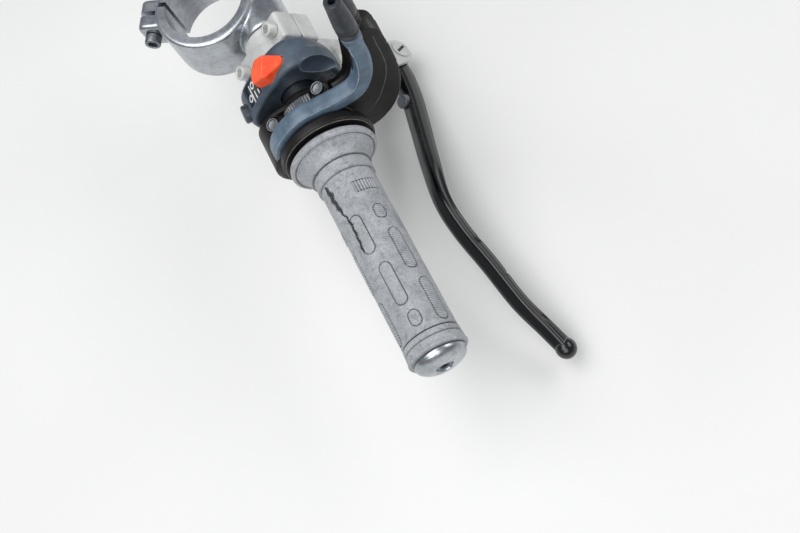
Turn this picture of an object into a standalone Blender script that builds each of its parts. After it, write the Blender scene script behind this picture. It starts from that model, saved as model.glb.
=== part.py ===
"""Right-hand control end of a motorcycle handlebar, in metres.

A clip-on clamp goes round the fork tube and carries a plain bar tube. On the bar, from the fork
outwards, sit the front brake's master cylinder with its lever, the switch pod, the throttle housing
with its cable elbow, the twist grip and the bar end.

Frame: the origin is on the fork tube's axis, level with the bar. +X runs outwards along the bar,
+Y forwards, +Z up along the fork tube.
"""
import math

import bmesh
import bpy
from mathutils import Matrix, Vector

MM = 0.001
DEG = math.radians(1)
FLAT = Matrix(((0, 1, 0, 0), (0, 0, 1, 0), (1, 0, 0, 0), (0, 0, 0, 1)))   # lays a prism's outline in x and y

# Fits and overruns
SEAT_GAP = 0.3 * MM            # between pieces that touch
RUN_GAP = 0.5 * MM             # round a piece that turns
OVERRUN = 2 * MM               # how far a cutter runs past the face it opens
WELD = 0.02 * MM               # points this close along a cut are one point

# Fork clamp
FORK_TUBE_D = 50 * MM
FORK_WALL = 7 * MM
FORK_CLAMP_HEIGHT = 36 * MM
FORK_BOSS_D = 34 * MM
FORK_BOSS_REACH = 12 * MM      # boss that holds the bar, past the fork's bore
EAR_REACH = 15 * MM            # pinch ears, past the ring
EAR_WIDTH = 9 * MM
EAR_HEIGHT = 20 * MM
EARS_TURN = -30 * DEG          # about the fork tube, from straight behind
PINCH_SLIT = 3 * MM

# Bar tube
BAR_D = 22.2 * MM
BAR_WALL = 2.5 * MM
BAR_AHEAD = 24 * MM            # bar axis ahead of the fork axis
BAR_START_WALL = 2 * MM        # between the fork's bore and the bar's end
BAR_END_SHORT = 1 * MM         # bar's end inside the grip's end

# Twist grip, measured from the rim of its flange
GRIP_LENGTH = 134 * MM
GRIP_D = 32.5 * MM
GRIP_RUBBER = 3.1 * MM
FLANGE_D = 53 * MM
FLANGE_LIP = 4 * MM
COLLAR_D = 36.4 * MM
COLLAR_LENGTH = 10 * MM
STEP_D = 34.4 * MM
STEP_LENGTH = 8.5 * MM
END_COLLAR_D = 33.8 * MM
END_COLLAR_LENGTH = 11 * MM
GROOVE_WIDTH = 1.4 * MM
TUBE_IN_HOUSING = 20 * MM      # throttle tube behind the flange rim
TUBE_FLANGE_D = 46 * MM
TUBE_FLANGE_THICK = 2 * MM

# Bar end
BAR_END_BASE_D = 30 * MM
BAR_END_DOME = 7.5 * MM
BAR_END_PLUG = 16 * MM
BAR_END_SINK = 1.5 * MM        # screw's head below the dome's crown

# Throttle housing
HOUSING_GAP = 5 * MM           # flange rim to the housing's outer disc
DISC_D = 57 * MM
DISC_THICK = 6 * MM
DRUM_D = 42 * MM
DRUM_LENGTH = 21 * MM          # from the outer face
NECK_D = 30 * MM
SCREW_BOSS_D = 11 * MM
HOUSING_LENGTH = 37 * MM
HOUSING_FROM_POD = 2 * MM
HOUSING_TILT = 16 * DEG        # tilt of its split about the bar
HOUSING_SCREW_SPREAD = 17 * MM
HOUSING_SCREW_INSET = 10 * MM  # from the housing's inner face
HOUSING_SCREW_SEAT = 14 * MM   # height of the head's seat over the bar axis
SCREW_WELL_GAP = 1 * MM        # round a head that is sunk in the housing
HOUSING_BACK_CENTRE = (-15 * MM, -6 * MM)   # swelling behind the bar, from the pod to the disc
HOUSING_BACK_R = 18.5 * MM
BELLY_INSET = 14 * MM          # behind the outer face
BELLY_LENGTH = 21 * MM
BELLY_CENTRE = (34 * MM, -2 * MM)
BELLY_R = 17 * MM
HORN_FOOT = (40 * MM, 2 * MM)
HORN_FOOT_R = 15 * MM
HORN_TOP = (46 * MM, 52 * MM)
HORN_TOP_R = 9 * MM
HORN_INSET = 1 * MM            # from the belly's inner face
HORN_WIDTH = 16 * MM
HORN_BOSS_D = 11 * MM
HORN_BOSS_HEIGHT = 3 * MM      # boss under the boot, over the horn
STRIP_WIDTH = 8 * MM
STRIP_THICK = 1.6 * MM
STRIP_TOOTH = 0.6 * MM
STRIP_TEETH = 12
STRIP_HALF_ANGLE = 36 * DEG
STRIP_SEAT_SPARE = 3 * DEG     # seat past each end of the strip

# Cable elbow and boots
ELBOW_D = 9 * MM
ELBOW_BACK = 18 * MM           # behind the flange rim
ELBOW_START = 150 * DEG        # round the bar, from +Y
ELBOW_LEAVE = 75 * DEG
ELBOW_AHEAD = 42 * MM
ELBOW_HEIGHT = 70 * MM
ELBOW_SHARES = ((0.68, 0.35), (0.90, 0.49), (0.99, 0.69), (1, 0.88), (1, 1))   # of ahead, of height
ELBOW_SOCKET_D = 12 * MM
ELBOW_SOCKET_LENGTH = 9 * MM
ELBOW_COLLAR_D = 11.4 * MM
ELBOW_COLLAR_LENGTH = 5 * MM
BOOT_D = 12 * MM
BOOT_TOP_D = 9 * MM
BOOT_LENGTH = 30 * MM
BOOT_FOOT_SHARE = 0.35         # straight part of a boot
CABLE_HOLE_D = 4 * MM

# Switch pod
POD_LENGTH = 22 * MM
POD_FROM_CLAMP = 6 * MM
POD_R = 28.5 * MM
HOOD_RISE = 7 * MM
HOOD_ANGLE = 72 * DEG
HOOD_SPREAD = 30 * DEG
BACK_RISE = 4 * MM             # swelling behind the bar, round the starter button
BACK_ANGLE = 172 * DEG
BACK_SPREAD = 25 * DEG
POD_TILT = 16 * DEG
POD_EDGE = 2 * MM
SWITCH_POCKET = 5 * MM         # depth of a switch's pocket in the pod
NOSE_ROOT = (10 * MM, 26 * MM)
NOSE_ROOT_R = 9 * MM
NOSE_TIP = (24 * MM, 18 * MM)
NOSE_TIP_R = 4 * MM
NOSE_REACH = 2.5 * MM
# Places of the switches: round the bar from +Y, and outwards from the pod's middle
KNOB_PLACE = (104 * DEG, 2.5 * MM)
KNOB_TURN = -30 * DEG          # about the pod's own normal there
KNOB_SIZE = (16 * MM, 20 * MM)
KNOB_HEIGHT = 7.5 * MM
KNOB_RIDGE_SHARE = 0.55        # place of the ridge across the knob
KNOB_SIDE_SHARE = 0.4          # height of its sides
KNOB_PLAN_SHARES = ((-0.5, -0.43), (0.05, -0.5), (0.5, -0.4), (0.44, 0.05), (-0.2, 0.5), (-0.5, 0.48))
BUTTON_PLACE = (168 * DEG, 4 * MM)
BUTTON_D = 11 * MM
BUTTON_HEIGHT = 3 * MM
LABEL_PLACE = (140 * DEG, 3 * MM)
LABEL_SIZE = (13 * MM, 13 * MM)
LABEL_THICK = 1 * MM

# Master cylinder, in the lever's plane: x along the bar, r away from the bar, w across the plane
LEVER_TILT = 50 * DEG          # the lever's plane, below +Y
MASTER_CLAMP_WIDTH = 20 * MM
MASTER_CLAMP_GAP = 1 * MM      # from the fork clamp's boss
MASTER_CLAMP_WALL = 6 * MM
MASTER_SCREW_SPREAD = 18 * MM
MASTER_CLAMP_LUG = 6.5 * MM    # clamp half past the screw's centre
MASTER_CLAMP_DEPTH = 13 * MM
PIVOT_R = 92 * MM              # pivot, from the bar axis
PIVOT_INBOARD = 2 * MM         # of the clamp's middle
PIVOT_TO_PUSH = 10 * MM
PERCH_R = 9.5 * MM
PERCH_EAR_THICK = 3.5 * MM
CYLINDER_D = 25 * MM
CYLINDER_FROM_POD = 5.5 * MM   # closed end, from the pod's round side
MOUTH_TO_PIVOT = 21 * MM
WEB_WIDTH = 16 * MM
PORT_D = 12 * MM
PORT_HEIGHT = 9 * MM
PORT_FROM_START = 16 * MM      # from the cylinder's closed end
BARB_D = 7 * MM
BARB_LENGTH = 12 * MM
BANJO_D = 14 * MM
BANJO_HEIGHT = 9 * MM
GAITER_D = 12 * MM
GAITER_LENGTH = 3.5 * MM
GAITER_WALL = 1.5 * MM
PUSH_ROD_D = 6 * MM
PUSH_ROD_INSIDE = 20 * MM      # rod behind the cylinder's mouth
PUSH_STROKE = 6 * MM

# Brake lever
LEVER_HEIGHT = 12 * MM         # across its plane
LEVER_THICK = 13 * MM          # in its plane, at the root
LEVER_EYE_D = 18 * MM
LEVER_REACH = 226 * MM         # pivot to tip along the bar
LEVER_DIP = 28 * MM            # how far it closes on the bar
LEVER_TIP_D = 13 * MM
# Shares of reach, dip, thickness and height
LEVER_SHARES = ((0, 0, 1, 0.95), (0.05, -0.01, 1, 0.95), (0.15, 0.12, 0.95, 0.95), (0.27, 0.41, 0.88, 0.95),
                (0.39, 0.715, 0.78, 0.95), (0.515, 0.97, 0.66, 0.92), (0.615, 0.93, 0.63, 0.92),
                (0.73, 0.68, 0.62, 0.92), (0.85, 0.455, 0.58, 0.9), (0.935, 0.135, 0.64, 0.85),
                (1, -0.11, 0.74, 0.8))
LEVER_POWER = 3.2
PAD_D = 9 * MM
PAD_DROP = 10.5 * MM           # flat pad that meets the push rod, below the pivot
PIVOT_D = 8 * MM
PIVOT_HEAD_D = 13 * MM
PIVOT_HEAD_HEIGHT = 1.2 * MM
PIVOT_SLOT = (8 * MM, 2 * MM, 0.8 * MM)   # length, width, depth
PIVOT_NUT_D = 13 * MM
PIVOT_NUT_HEIGHT = 5 * MM
ADJUSTER_D = 9 * MM
ADJUSTER_HEIGHT = 7 * MM
ADJUSTER_ALONG = 37 * MM       # from the pivot
ADJUSTER_DROP = 6.5 * MM       # its seat in the lever, below the pivot

# Screws: head diameter, head height, shank diameter
PINCH_SCREW = (10 * MM, 6 * MM, 6 * MM)
HOUSING_SCREW = (8.5 * MM, 4.5 * MM, 4 * MM)
MASTER_SCREW = (9 * MM, 6 * MM, 5 * MM)
BAR_END_SCREW = (9 * MM, 3 * MM, 5 * MM)
SCREW_DEPTH = 9 * MM           # thread past the joint that a screw closes
SOCKET_SHARE = 0.55            # a socket's width, as a share of its screw's head
SOCKET_DEPTH_SHARE = 0.6
SCREW_EDGE_SHARE = 0.15

# Facets
ROUND_SIDES = 32
SMALL_SIDES = 16
TUBE_SIDES = 12
SWEEP_STEPS = 28
LEVER_SIDES = 12
DOME_STEPS = 4
BELL_STEPS = 4
STRIP_STEPS = 2                # facets on each side of a tooth
BEVEL_STEPS = 2
SHARP_ANGLE = 35 * DEG
EDGE = 1 * MM                  # rounding of castings and mouldings

# Places along the bar, each from the piece before it, outwards from the fork's axis
BAR_START_X = FORK_TUBE_D / 2 + BAR_START_WALL
FORK_BOSS_END = FORK_TUBE_D / 2 + FORK_BOSS_REACH
MASTER_INNER_X = FORK_BOSS_END + MASTER_CLAMP_GAP
MASTER_CLAMP_X = MASTER_INNER_X + MASTER_CLAMP_WIDTH / 2
MASTER_OUTER_X = MASTER_INNER_X + MASTER_CLAMP_WIDTH
POD_INNER_X = MASTER_OUTER_X + POD_FROM_CLAMP
POD_OUTER_X = POD_INNER_X + POD_LENGTH
HOUSING_INNER_X = POD_OUTER_X + HOUSING_FROM_POD
HOUSING_OUTER_X = HOUSING_INNER_X + HOUSING_LENGTH
DISC_INNER_X = HOUSING_OUTER_X - DISC_THICK
FLANGE_X = HOUSING_OUTER_X + HOUSING_GAP
TUBE_START_X = FLANGE_X - TUBE_IN_HOUSING
GRIP_END_X = FLANGE_X + GRIP_LENGTH
BAR_END_X = GRIP_END_X - BAR_END_SHORT
PIVOT_X = MASTER_CLAMP_X - PIVOT_INBOARD
PUSH_X = PIVOT_X + PIVOT_TO_PUSH

# Radii on the bar, and places in the lever's plane, away from the bar
BAR_R = BAR_D / 2
SEAT_R = BAR_R + SEAT_GAP       # bore of what is clamped on the bar
TUBE_BORE_R = BAR_R + RUN_GAP
TUBE_R = GRIP_D / 2 - GRIP_RUBBER - SEAT_GAP
CYLINDER_START = POD_R + CYLINDER_FROM_POD
CYLINDER_END = PIVOT_R - MOUTH_TO_PIVOT
PORT_R = CYLINDER_START + PORT_FROM_START


def colour(name, srgb_hex, roughness, metallic):
    """A Principled material from an sRGB hex colour."""
    channels = [int(srgb_hex[i:i + 2], 16) / 255 for i in (0, 2, 4)]
    linear = [c / 12.92 if c <= 0.04045 else ((c + 0.055) / 1.055) ** 2.4 for c in channels]
    material = bpy.data.materials.new(name)
    material.use_nodes = True
    shader = material.node_tree.nodes["Principled BSDF"]
    shader.inputs["Base Color"].default_value = (*linear, 1)
    shader.inputs["Roughness"].default_value = roughness
    shader.inputs["Metallic"].default_value = metallic
    return material


def bar_frame(tilt=0):
    """x along the bar, y forwards and z up, both turned by tilt about the bar's axis."""
    return Matrix.Translation((0, BAR_AHEAD, 0)) @ Matrix.Rotation(tilt, 4, "X")


def along(frame, x, y, z, axis):
    """A frame at a point of another one, with its own z along the given direction there."""
    turn = Vector(axis).to_track_quat("Z", "Y").to_matrix().to_4x4()
    return frame @ Matrix.Translation((x, y, z)) @ turn


def solid(name, bm, frame, material, smooth=True):
    """Puts a bmesh into a new object at the frame, with its faces pointing out."""
    bmesh.ops.recalc_face_normals(bm, faces=bm.faces)
    mesh = bpy.data.meshes.new(name)
    bm.to_mesh(mesh)
    bm.free()
    if smooth:
        mesh.shade_smooth()
        mesh.set_sharp_from_angle(angle=SHARP_ANGLE)
    if material:
        mesh.materials.append(material)
    obj = bpy.data.objects.new(name, mesh)
    bpy.context.scene.collection.objects.link(obj)
    obj.matrix_world = frame
    return obj


def revolve(name, profile, frame, material, sides=ROUND_SIDES):
    """Turns (radius, height) points about z. A profile from axis to axis is a full solid, and
    one that stays off the axis is closed on itself as a ring."""
    bm = bmesh.new()
    rings = []
    for radius, height in profile:
        if radius == 0:
            rings.append([bm.verts.new((0, 0, height))])
            continue
        angles = [math.tau * i / sides for i in range(sides)]
        rings.append([bm.verts.new((radius * math.cos(a), radius * math.sin(a), height)) for a in angles])
    pairs = list(zip(rings, rings[1:]))
    if profile[0][0] != 0:
        pairs.append((rings[-1], rings[0]))
    for low, high in pairs:
        for i in range(sides):
            j = (i + 1) % sides
            corners = [low[i % len(low)], low[j % len(low)], high[j % len(high)], high[i % len(high)]]
            bm.faces.new(dict.fromkeys(corners))
    return solid(name, bm, frame, material)


def rod(name, diameter, low, high, frame, material=None, sides=SMALL_SIDES):
    """A plain round bar along z."""
    return revolve(name, [(0, low), (diameter / 2, low), (diameter / 2, high), (0, high)],
                   frame, material, sides)


def prism(name, outline, low, high, frame, material=None, bevel=0):
    """An outline in y and z, carried along x from low to high."""
    bm = bmesh.new()
    ends = [[bm.verts.new((x, y, z)) for y, z in outline] for x in (low, high)]
    for end in ends:
        bm.faces.new(end)
    for i in range(len(outline)):
        j = (i + 1) % len(outline)
        bm.faces.new((ends[0][i], ends[0][j], ends[1][j], ends[1][i]))
    obj = solid(name, bm, frame, material)
    if bevel:
        round_edges(obj, bevel)
    return obj


def box(name, low, high, frame, material=None, bevel=0):
    """A block between two corners."""
    outline = [(low[1], low[2]), (high[1], low[2]), (high[1], high[2]), (low[1], high[2])]
    return prism(name, outline, low[0], high[0], frame, material, bevel)


def round_edges(obj, width):
    """Rounds the sharp edges of an object."""
    bevel = obj.modifiers.new("rounded_edges", "BEVEL")
    bevel.width = width
    bevel.segments = BEVEL_STEPS
    bevel.limit_method = "ANGLE"
    bevel.angle_limit = SHARP_ANGLE


def circle(centre, radius, sides=ROUND_SIDES):
    """Points of a circle in y and z."""
    angles = [math.tau * i / sides for i in range(sides)]
    return [(centre[0] + radius * math.cos(a), centre[1] + radius * math.sin(a)) for a in angles]


def belt(first, first_radius, second, second_radius):
    """The outline of a belt round two circles: two arcs joined by their outer tangents."""
    reach = Vector(second) - Vector(first)
    lean = math.acos((first_radius - second_radius) / reach.length)
    heading = math.atan2(reach.y, reach.x)
    steps = ROUND_SIDES // 2
    points = []
    for centre, radius, start, sweep in ((second, second_radius, heading - lean, 2 * lean),
                                         (first, first_radius, heading + lean, math.tau - 2 * lean)):
        for i in range(steps + 1):
            angle = start + sweep * i / steps
            points.append((centre[0] + radius * math.cos(angle), centre[1] + radius * math.sin(angle)))
    return points


def use_tool(obj, tool, operation):
    """Cuts, joins or meets an object with a hidden tool."""
    tool.hide_render = True
    tool.display_type = "WIRE"
    boolean = obj.modifiers.new(tool.name, "BOOLEAN")
    boolean.operation = operation
    boolean.solver = "EXACT"
    boolean.object = tool
    weld = obj.modifiers.new(tool.name + "_seam", "WELD")
    weld.merge_threshold = WELD


def cut(obj, *tools):
    """Cuts the tools out of an object."""
    for tool in tools:
        use_tool(obj, tool, "DIFFERENCE")


def join(obj, *tools):
    """Joins the tools to an object."""
    for tool in tools:
        use_tool(obj, tool, "UNION")


def smooth_path(points, steps):
    """A Catmull-Rom curve through the points, as evenly counted steps."""
    padded = [2 * points[0] - points[1], *points, 2 * points[-1] - points[-2]]
    path = []
    for i in range(steps + 1):
        place = i * (len(points) - 1) / steps
        k = min(int(place), len(points) - 2)
        t = place - k
        a, b, c, d = padded[k:k + 4]
        path.append(0.5 * (2 * b + (c - a) * t + (2 * a - 5 * b + 4 * c - d) * t ** 2
                           + (3 * b - 3 * c + d - a) * t ** 3))
    return path


def sweep(name, path, sizes, side, power, frame, material, sides=SMALL_SIDES):
    """Carries a rounded section along a path: sizes are its full widths across the path and along
    the fixed side direction, and power is 2 for an oval and more for a squarer section."""
    bm = bmesh.new()
    rings = []
    for i, point in enumerate(path):
        ahead = path[min(i + 1, len(path) - 1)] - path[max(i - 1, 0)]
        across = side.cross(ahead).normalized()
        up = ahead.cross(across).normalized()
        ring = []
        for k in range(sides):
            angle = math.tau * k / sides
            c, s = math.cos(angle), math.sin(angle)
            a = math.copysign(abs(c) ** (2 / power), c) * sizes[i][0] / 2
            b = math.copysign(abs(s) ** (2 / power), s) * sizes[i][1] / 2
            ring.append(bm.verts.new(point + a * across + b * up))
        rings.append(ring)
    for low, high in zip(rings, rings[1:]):
        for k in range(sides):
            j = (k + 1) % sides
            bm.faces.new((low[k], low[j], high[j], high[k]))
    bm.faces.new(rings[0])
    bm.faces.new(rings[-1])
    return solid(name, bm, frame, material)


def socket_screw(name, size, shank_length, frame, material):
    """A cap screw whose head sits on z = 0 and whose shank points down."""
    head_d, head_height, shank_d = size
    edge = head_height * SCREW_EDGE_SHARE
    profile = [(0, -shank_length), (shank_d / 2, -shank_length), (shank_d / 2, SEAT_GAP),
               (head_d / 2, SEAT_GAP), (head_d / 2, head_height - edge),
               (head_d / 2 - edge, head_height), (0, head_height)]
    screw = revolve(name, profile, frame, material, SMALL_SIDES)
    socket = rod(name + "_socket", head_d * SOCKET_SHARE, head_height * (1 - SOCKET_DEPTH_SHARE),
                 head_height + OVERRUN, frame, sides=6)
    cut(screw, socket)
    return screw


def split(obj, frame, keep_upper, size):
    """Cuts an object at the plane z = 0 of a frame, half a seat gap clear of it."""
    low, high = (-size, SEAT_GAP / 2) if keep_upper else (-SEAT_GAP / 2, size)
    cut(obj, box(obj.name + "_split", (0, -size, low), (GRIP_END_X, size, high), frame))


def make_fork_clamp(alloy, steel):
    """The ring on the fork tube with its pinch ears behind and the boss that holds the bar."""
    upright = Matrix.Identity(4)
    behind = Matrix.Rotation(EARS_TURN, 4, "Z")
    half = FORK_CLAMP_HEIGHT / 2
    ring_r = FORK_TUBE_D / 2 + FORK_WALL
    ear_end = ring_r + EAR_REACH
    ear_side = PINCH_SLIT / 2 + EAR_WIDTH
    out = along(bar_frame(), 0, 0, 0, (1, 0, 0))
    clamp = rod("fork_clamp", 2 * ring_r, -half, half, upright, alloy, ROUND_SIDES)
    join(clamp,
         rod("fork_clamp_boss", FORK_BOSS_D, 0, FORK_BOSS_END, out, sides=ROUND_SIDES),
         box("fork_clamp_ears", (-ear_side, -ear_end, -EAR_HEIGHT / 2),
             (ear_side, FORK_WALL / 2 - ring_r, EAR_HEIGHT / 2), behind))
    across = along(behind, 0, -ring_r - EAR_REACH / 2, 0, (1, 0, 0))
    cut(clamp,
        box("pinch_slit", (-PINCH_SLIT / 2, -ear_end - OVERRUN, -half - OVERRUN),
            (PINCH_SLIT / 2, -FORK_TUBE_D / 4, half + OVERRUN), behind),
        rod("fork_bore", FORK_TUBE_D, -half - OVERRUN, half + OVERRUN, upright, sides=ROUND_SIDES),
        rod("bar_seat", 2 * SEAT_R, BAR_START_X - SEAT_GAP, FORK_BOSS_END + OVERRUN, out, sides=ROUND_SIDES),
        rod("pinch_hole", PINCH_SCREW[2] + 2 * SEAT_GAP, -ear_side - OVERRUN, ear_side + OVERRUN, across))
    socket_screw("fork_pinch_screw", PINCH_SCREW, 2 * ear_side,
                 across @ Matrix.Translation((0, 0, ear_side)), steel)


def make_bar(steel, alloy, zinc):
    """The bar tube, and the domed bar end with its plug in the tube and its screw."""
    out = along(bar_frame(), 0, 0, 0, (1, 0, 0))
    bore = BAR_R - BAR_WALL
    revolve("bar_tube", [(bore, BAR_START_X), (BAR_R, BAR_START_X), (BAR_R, BAR_END_X), (bore, BAR_END_X)],
            out, steel)
    base = GRIP_END_X + RUN_GAP
    crown = base + BAR_END_DOME
    plug_r = bore - SEAT_GAP
    dome = [(BAR_END_BASE_D / 2 * math.cos(a), base + BAR_END_DOME * math.sin(a))
            for a in [math.pi / 2 * i / DOME_STEPS for i in range(DOME_STEPS)]]
    cap = revolve("bar_end_cap", [(0, base - BAR_END_PLUG), (plug_r, base - BAR_END_PLUG), (plug_r, base),
                                  *dome, (0, crown)], out, alloy)
    head_d, head_height, shank_d = BAR_END_SCREW
    seat = crown - BAR_END_SINK - head_height
    cut(cap,
        rod("bar_end_counterbore", head_d + 2 * SEAT_GAP, seat, crown + OVERRUN, out),
        rod("bar_end_thread", shank_d + 2 * SEAT_GAP, base - BAR_END_PLUG / 2 - OVERRUN, crown, out))
    socket_screw("bar_end_screw", BAR_END_SCREW, seat - base + BAR_END_PLUG / 2,
                 out @ Matrix.Translation((0, 0, seat)), zinc)


def grip_profile():
    """The grip's ring section: flange, bell-shaped collar, step, body and end collar, with a
    groove between each two."""
    bore = TUBE_R + SEAT_GAP
    rim, body = FLANGE_D / 2, GRIP_D / 2
    lip = FLANGE_LIP / 2
    points = [(bore, -lip), (rim - lip / 2, -lip), (rim, -lip / 2), (rim, lip / 2), (rim - lip / 2, lip)]
    for i in range(1, BELL_STEPS + 1):
        t = i / BELL_STEPS
        points.append((COLLAR_D / 2 + (rim - lip - COLLAR_D / 2) * (1 - t) ** 2,
                       lip + (COLLAR_LENGTH - lip) * t))
    step_end = COLLAR_LENGTH + STEP_LENGTH
    end_collar = GRIP_LENGTH - END_COLLAR_LENGTH
    for low, high, radius in ((COLLAR_LENGTH, step_end, STEP_D / 2), (step_end, end_collar, body),
                              (end_collar, GRIP_LENGTH, END_COLLAR_D / 2)):
        groove = body - GROOVE_WIDTH / 2
        points += [(groove, low + GROOVE_WIDTH / 4), (groove, low + GROOVE_WIDTH * 3 / 4),
                   (radius, low + GROOVE_WIDTH), (radius, high)]
    return points + [(bore, GRIP_LENGTH)]


def make_twist_grip(plastic, rubber):
    """The throttle tube that turns on the bar, and the rubber grip on it."""
    origin = along(bar_frame(), FLANGE_X, 0, 0, (1, 0, 0))
    flange_end = -FLANGE_LIP / 2 - SEAT_GAP
    flange_start = flange_end - TUBE_FLANGE_THICK
    revolve("throttle_tube", [(TUBE_BORE_R, -TUBE_IN_HOUSING), (TUBE_R, -TUBE_IN_HOUSING),
                              (TUBE_R, flange_start), (TUBE_FLANGE_D / 2, flange_start),
                              (TUBE_FLANGE_D / 2, flange_end), (TUBE_R, flange_end),
                              (TUBE_R, GRIP_LENGTH), (TUBE_BORE_R, GRIP_LENGTH)], origin, plastic)
    revolve("grip", grip_profile(), origin, rubber)


def elbow_path():
    """The elbow's centre line: round the drum over the bar, then up ahead of it."""
    round_r = DRUM_D / 2 + SEAT_GAP + ELBOW_D / 2
    x = FLANGE_X - ELBOW_BACK
    turns = 4
    points = []
    for i in range(turns + 1):
        angle = ELBOW_START + (ELBOW_LEAVE - ELBOW_START) * i / turns
        points.append(Vector((x, round_r * math.cos(angle), round_r * math.sin(angle))))
    for ahead, height in ELBOW_SHARES:
        points.append(Vector((x, ELBOW_AHEAD * ahead, ELBOW_HEIGHT * height)))
    return smooth_path(points, SWEEP_STEPS)


def make_housing_half(name, upper, plastic):
    """One half of the throttle housing: disc, drum and neck, the belly ahead of the bar and the
    swelling behind it, and on the upper half the horn for the second cable."""
    level, tilted = bar_frame(), bar_frame(HOUSING_TILT)
    middle = (0, 0)
    belly_start = HOUSING_OUTER_X - BELLY_INSET - BELLY_LENGTH
    belly_end = HOUSING_OUTER_X - BELLY_INSET
    drum_start = HOUSING_OUTER_X - DRUM_LENGTH
    head_well = HOUSING_SCREW[0] + 2 * SCREW_WELL_GAP
    half = revolve(name, [(0, HOUSING_INNER_X), (NECK_D / 2, HOUSING_INNER_X), (NECK_D / 2, drum_start),
                          (DRUM_D / 2, drum_start), (DRUM_D / 2, DISC_INNER_X), (DISC_D / 2, DISC_INNER_X),
                          (DISC_D / 2, HOUSING_OUTER_X), (0, HOUSING_OUTER_X)],
                   along(level, 0, 0, 0, (1, 0, 0)), plastic)
    join(half,
         prism(name + "_belly", belt(middle, NECK_D / 2 - EDGE, BELLY_CENTRE, BELLY_R),
               belly_start, belly_end, level, bevel=EDGE),
         prism(name + "_back", belt(HOUSING_BACK_CENTRE, HOUSING_BACK_R, middle, NECK_D / 2 - EDGE),
               HOUSING_INNER_X, DISC_INNER_X + EDGE, level, bevel=EDGE))
    line = elbow_path()
    cut(half, sweep(name + "_elbow_channel", line, [(ELBOW_D + SEAT_GAP, ELBOW_D + SEAT_GAP)] * len(line),
                    Vector((1, 0, 0)), 2, level, None, TUBE_SIDES))
    screw_x = HOUSING_INNER_X + HOUSING_SCREW_INSET
    seat_half = STRIP_WIDTH / 2 + SEAT_GAP
    cut(half, prism(name + "_strip_seat", strip_seat_outline(), screw_x - seat_half, screw_x + seat_half, tilted))
    for side in (-1, 1):
        boss = along(tilted, screw_x, side * HOUSING_SCREW_SPREAD, 0, (0, 0, 1))
        join(half, rod(f"{name}_boss_{side}", SCREW_BOSS_D, -HOUSING_SCREW_SEAT, HOUSING_SCREW_SEAT, boss))
    if upper:
        add_horn(half, belly_start + HORN_INSET, level)
    cut(half,
        prism(name + "_bar_bore", circle(middle, SEAT_R), HOUSING_INNER_X - OVERRUN,
              TUBE_START_X, level),
        prism(name + "_tube_bore", circle(middle, TUBE_R + RUN_GAP), TUBE_START_X - RUN_GAP,
              HOUSING_OUTER_X + OVERRUN, level))
    for side in (-1, 1):
        boss = along(tilted, screw_x, side * HOUSING_SCREW_SPREAD, 0, (0, 0, 1))
        cut(half,
            rod(f"{name}_hole_{side}", HOUSING_SCREW[2] + 2 * SEAT_GAP, -SCREW_DEPTH - OVERRUN,
                HOUSING_SCREW_SEAT + OVERRUN, boss),
            rod(f"{name}_well_{side}", head_well, HOUSING_SCREW_SEAT, 2 * HOUSING_SCREW_SEAT, boss))
    split(half, tilted, upper, DISC_D + ELBOW_HEIGHT)


def add_horn(half, start, level):
    """The horn that leads the second cable up, its boss, and the socket of the elbow."""
    x = start + HORN_WIDTH / 2
    horn_end = HORN_TOP[1] + HORN_TOP_R
    elbow = elbow_path()
    foot = along(level, *elbow[0], elbow[0] - elbow[1])
    join(half,
         prism("horn", belt(HORN_TOP, HORN_TOP_R, HORN_FOOT, HORN_FOOT_R), start, start + HORN_WIDTH,
               level, bevel=EDGE),
         rod("horn_boss", HORN_BOSS_D, 0, horn_end + HORN_BOSS_HEIGHT - HORN_TOP[1],
             along(level, x, *HORN_TOP, (0, 0, 1))),
         rod("elbow_socket", ELBOW_SOCKET_D, SEAT_GAP, ELBOW_SOCKET_LENGTH, foot))


def make_throttle_housing(plastic, zinc, rubber):
    """Both housing halves, their screws, the toothed strip, the cable elbow and the boots."""
    make_housing_half("throttle_housing_lower", False, plastic)
    make_housing_half("throttle_housing_upper", True, plastic)
    level, tilted = bar_frame(), bar_frame(HOUSING_TILT)
    screw_x = HOUSING_INNER_X + HOUSING_SCREW_INSET
    for side, place in ((1, "front"), (-1, "rear")):
        seat = along(tilted, screw_x, side * HOUSING_SCREW_SPREAD, HOUSING_SCREW_SEAT, (0, 0, 1))
        socket_screw(f"housing_screw_{place}", HOUSING_SCREW, HOUSING_SCREW_SEAT + SCREW_DEPTH, seat, zinc)
    prism("housing_strip", strip_outline(), screw_x - STRIP_WIDTH / 2, screw_x + STRIP_WIDTH / 2, tilted, zinc)

    path = elbow_path()
    widths = [(ELBOW_D, ELBOW_D)] * len(path)
    elbow = sweep("cable_elbow", path, widths, Vector((1, 0, 0)), 2, level, plastic, TUBE_SIDES)
    x, y, top = path[-1]
    upwards = along(level, x, y, top, (0, 0, 1))
    join(elbow, rod("elbow_collar", ELBOW_COLLAR_D, -ELBOW_COLLAR_LENGTH, SEAT_GAP, upwards))
    make_boot("elbow_boot", upwards @ Matrix.Translation((0, 0, 2 * SEAT_GAP)), rubber)
    horn_x = HOUSING_OUTER_X - BELLY_INSET - BELLY_LENGTH + HORN_INSET + HORN_WIDTH / 2
    horn_top = HORN_TOP[1] + HORN_TOP_R + HORN_BOSS_HEIGHT + SEAT_GAP
    make_boot("horn_boot", along(level, horn_x, HORN_TOP[0], horn_top, (0, 0, 1)), rubber)


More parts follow.
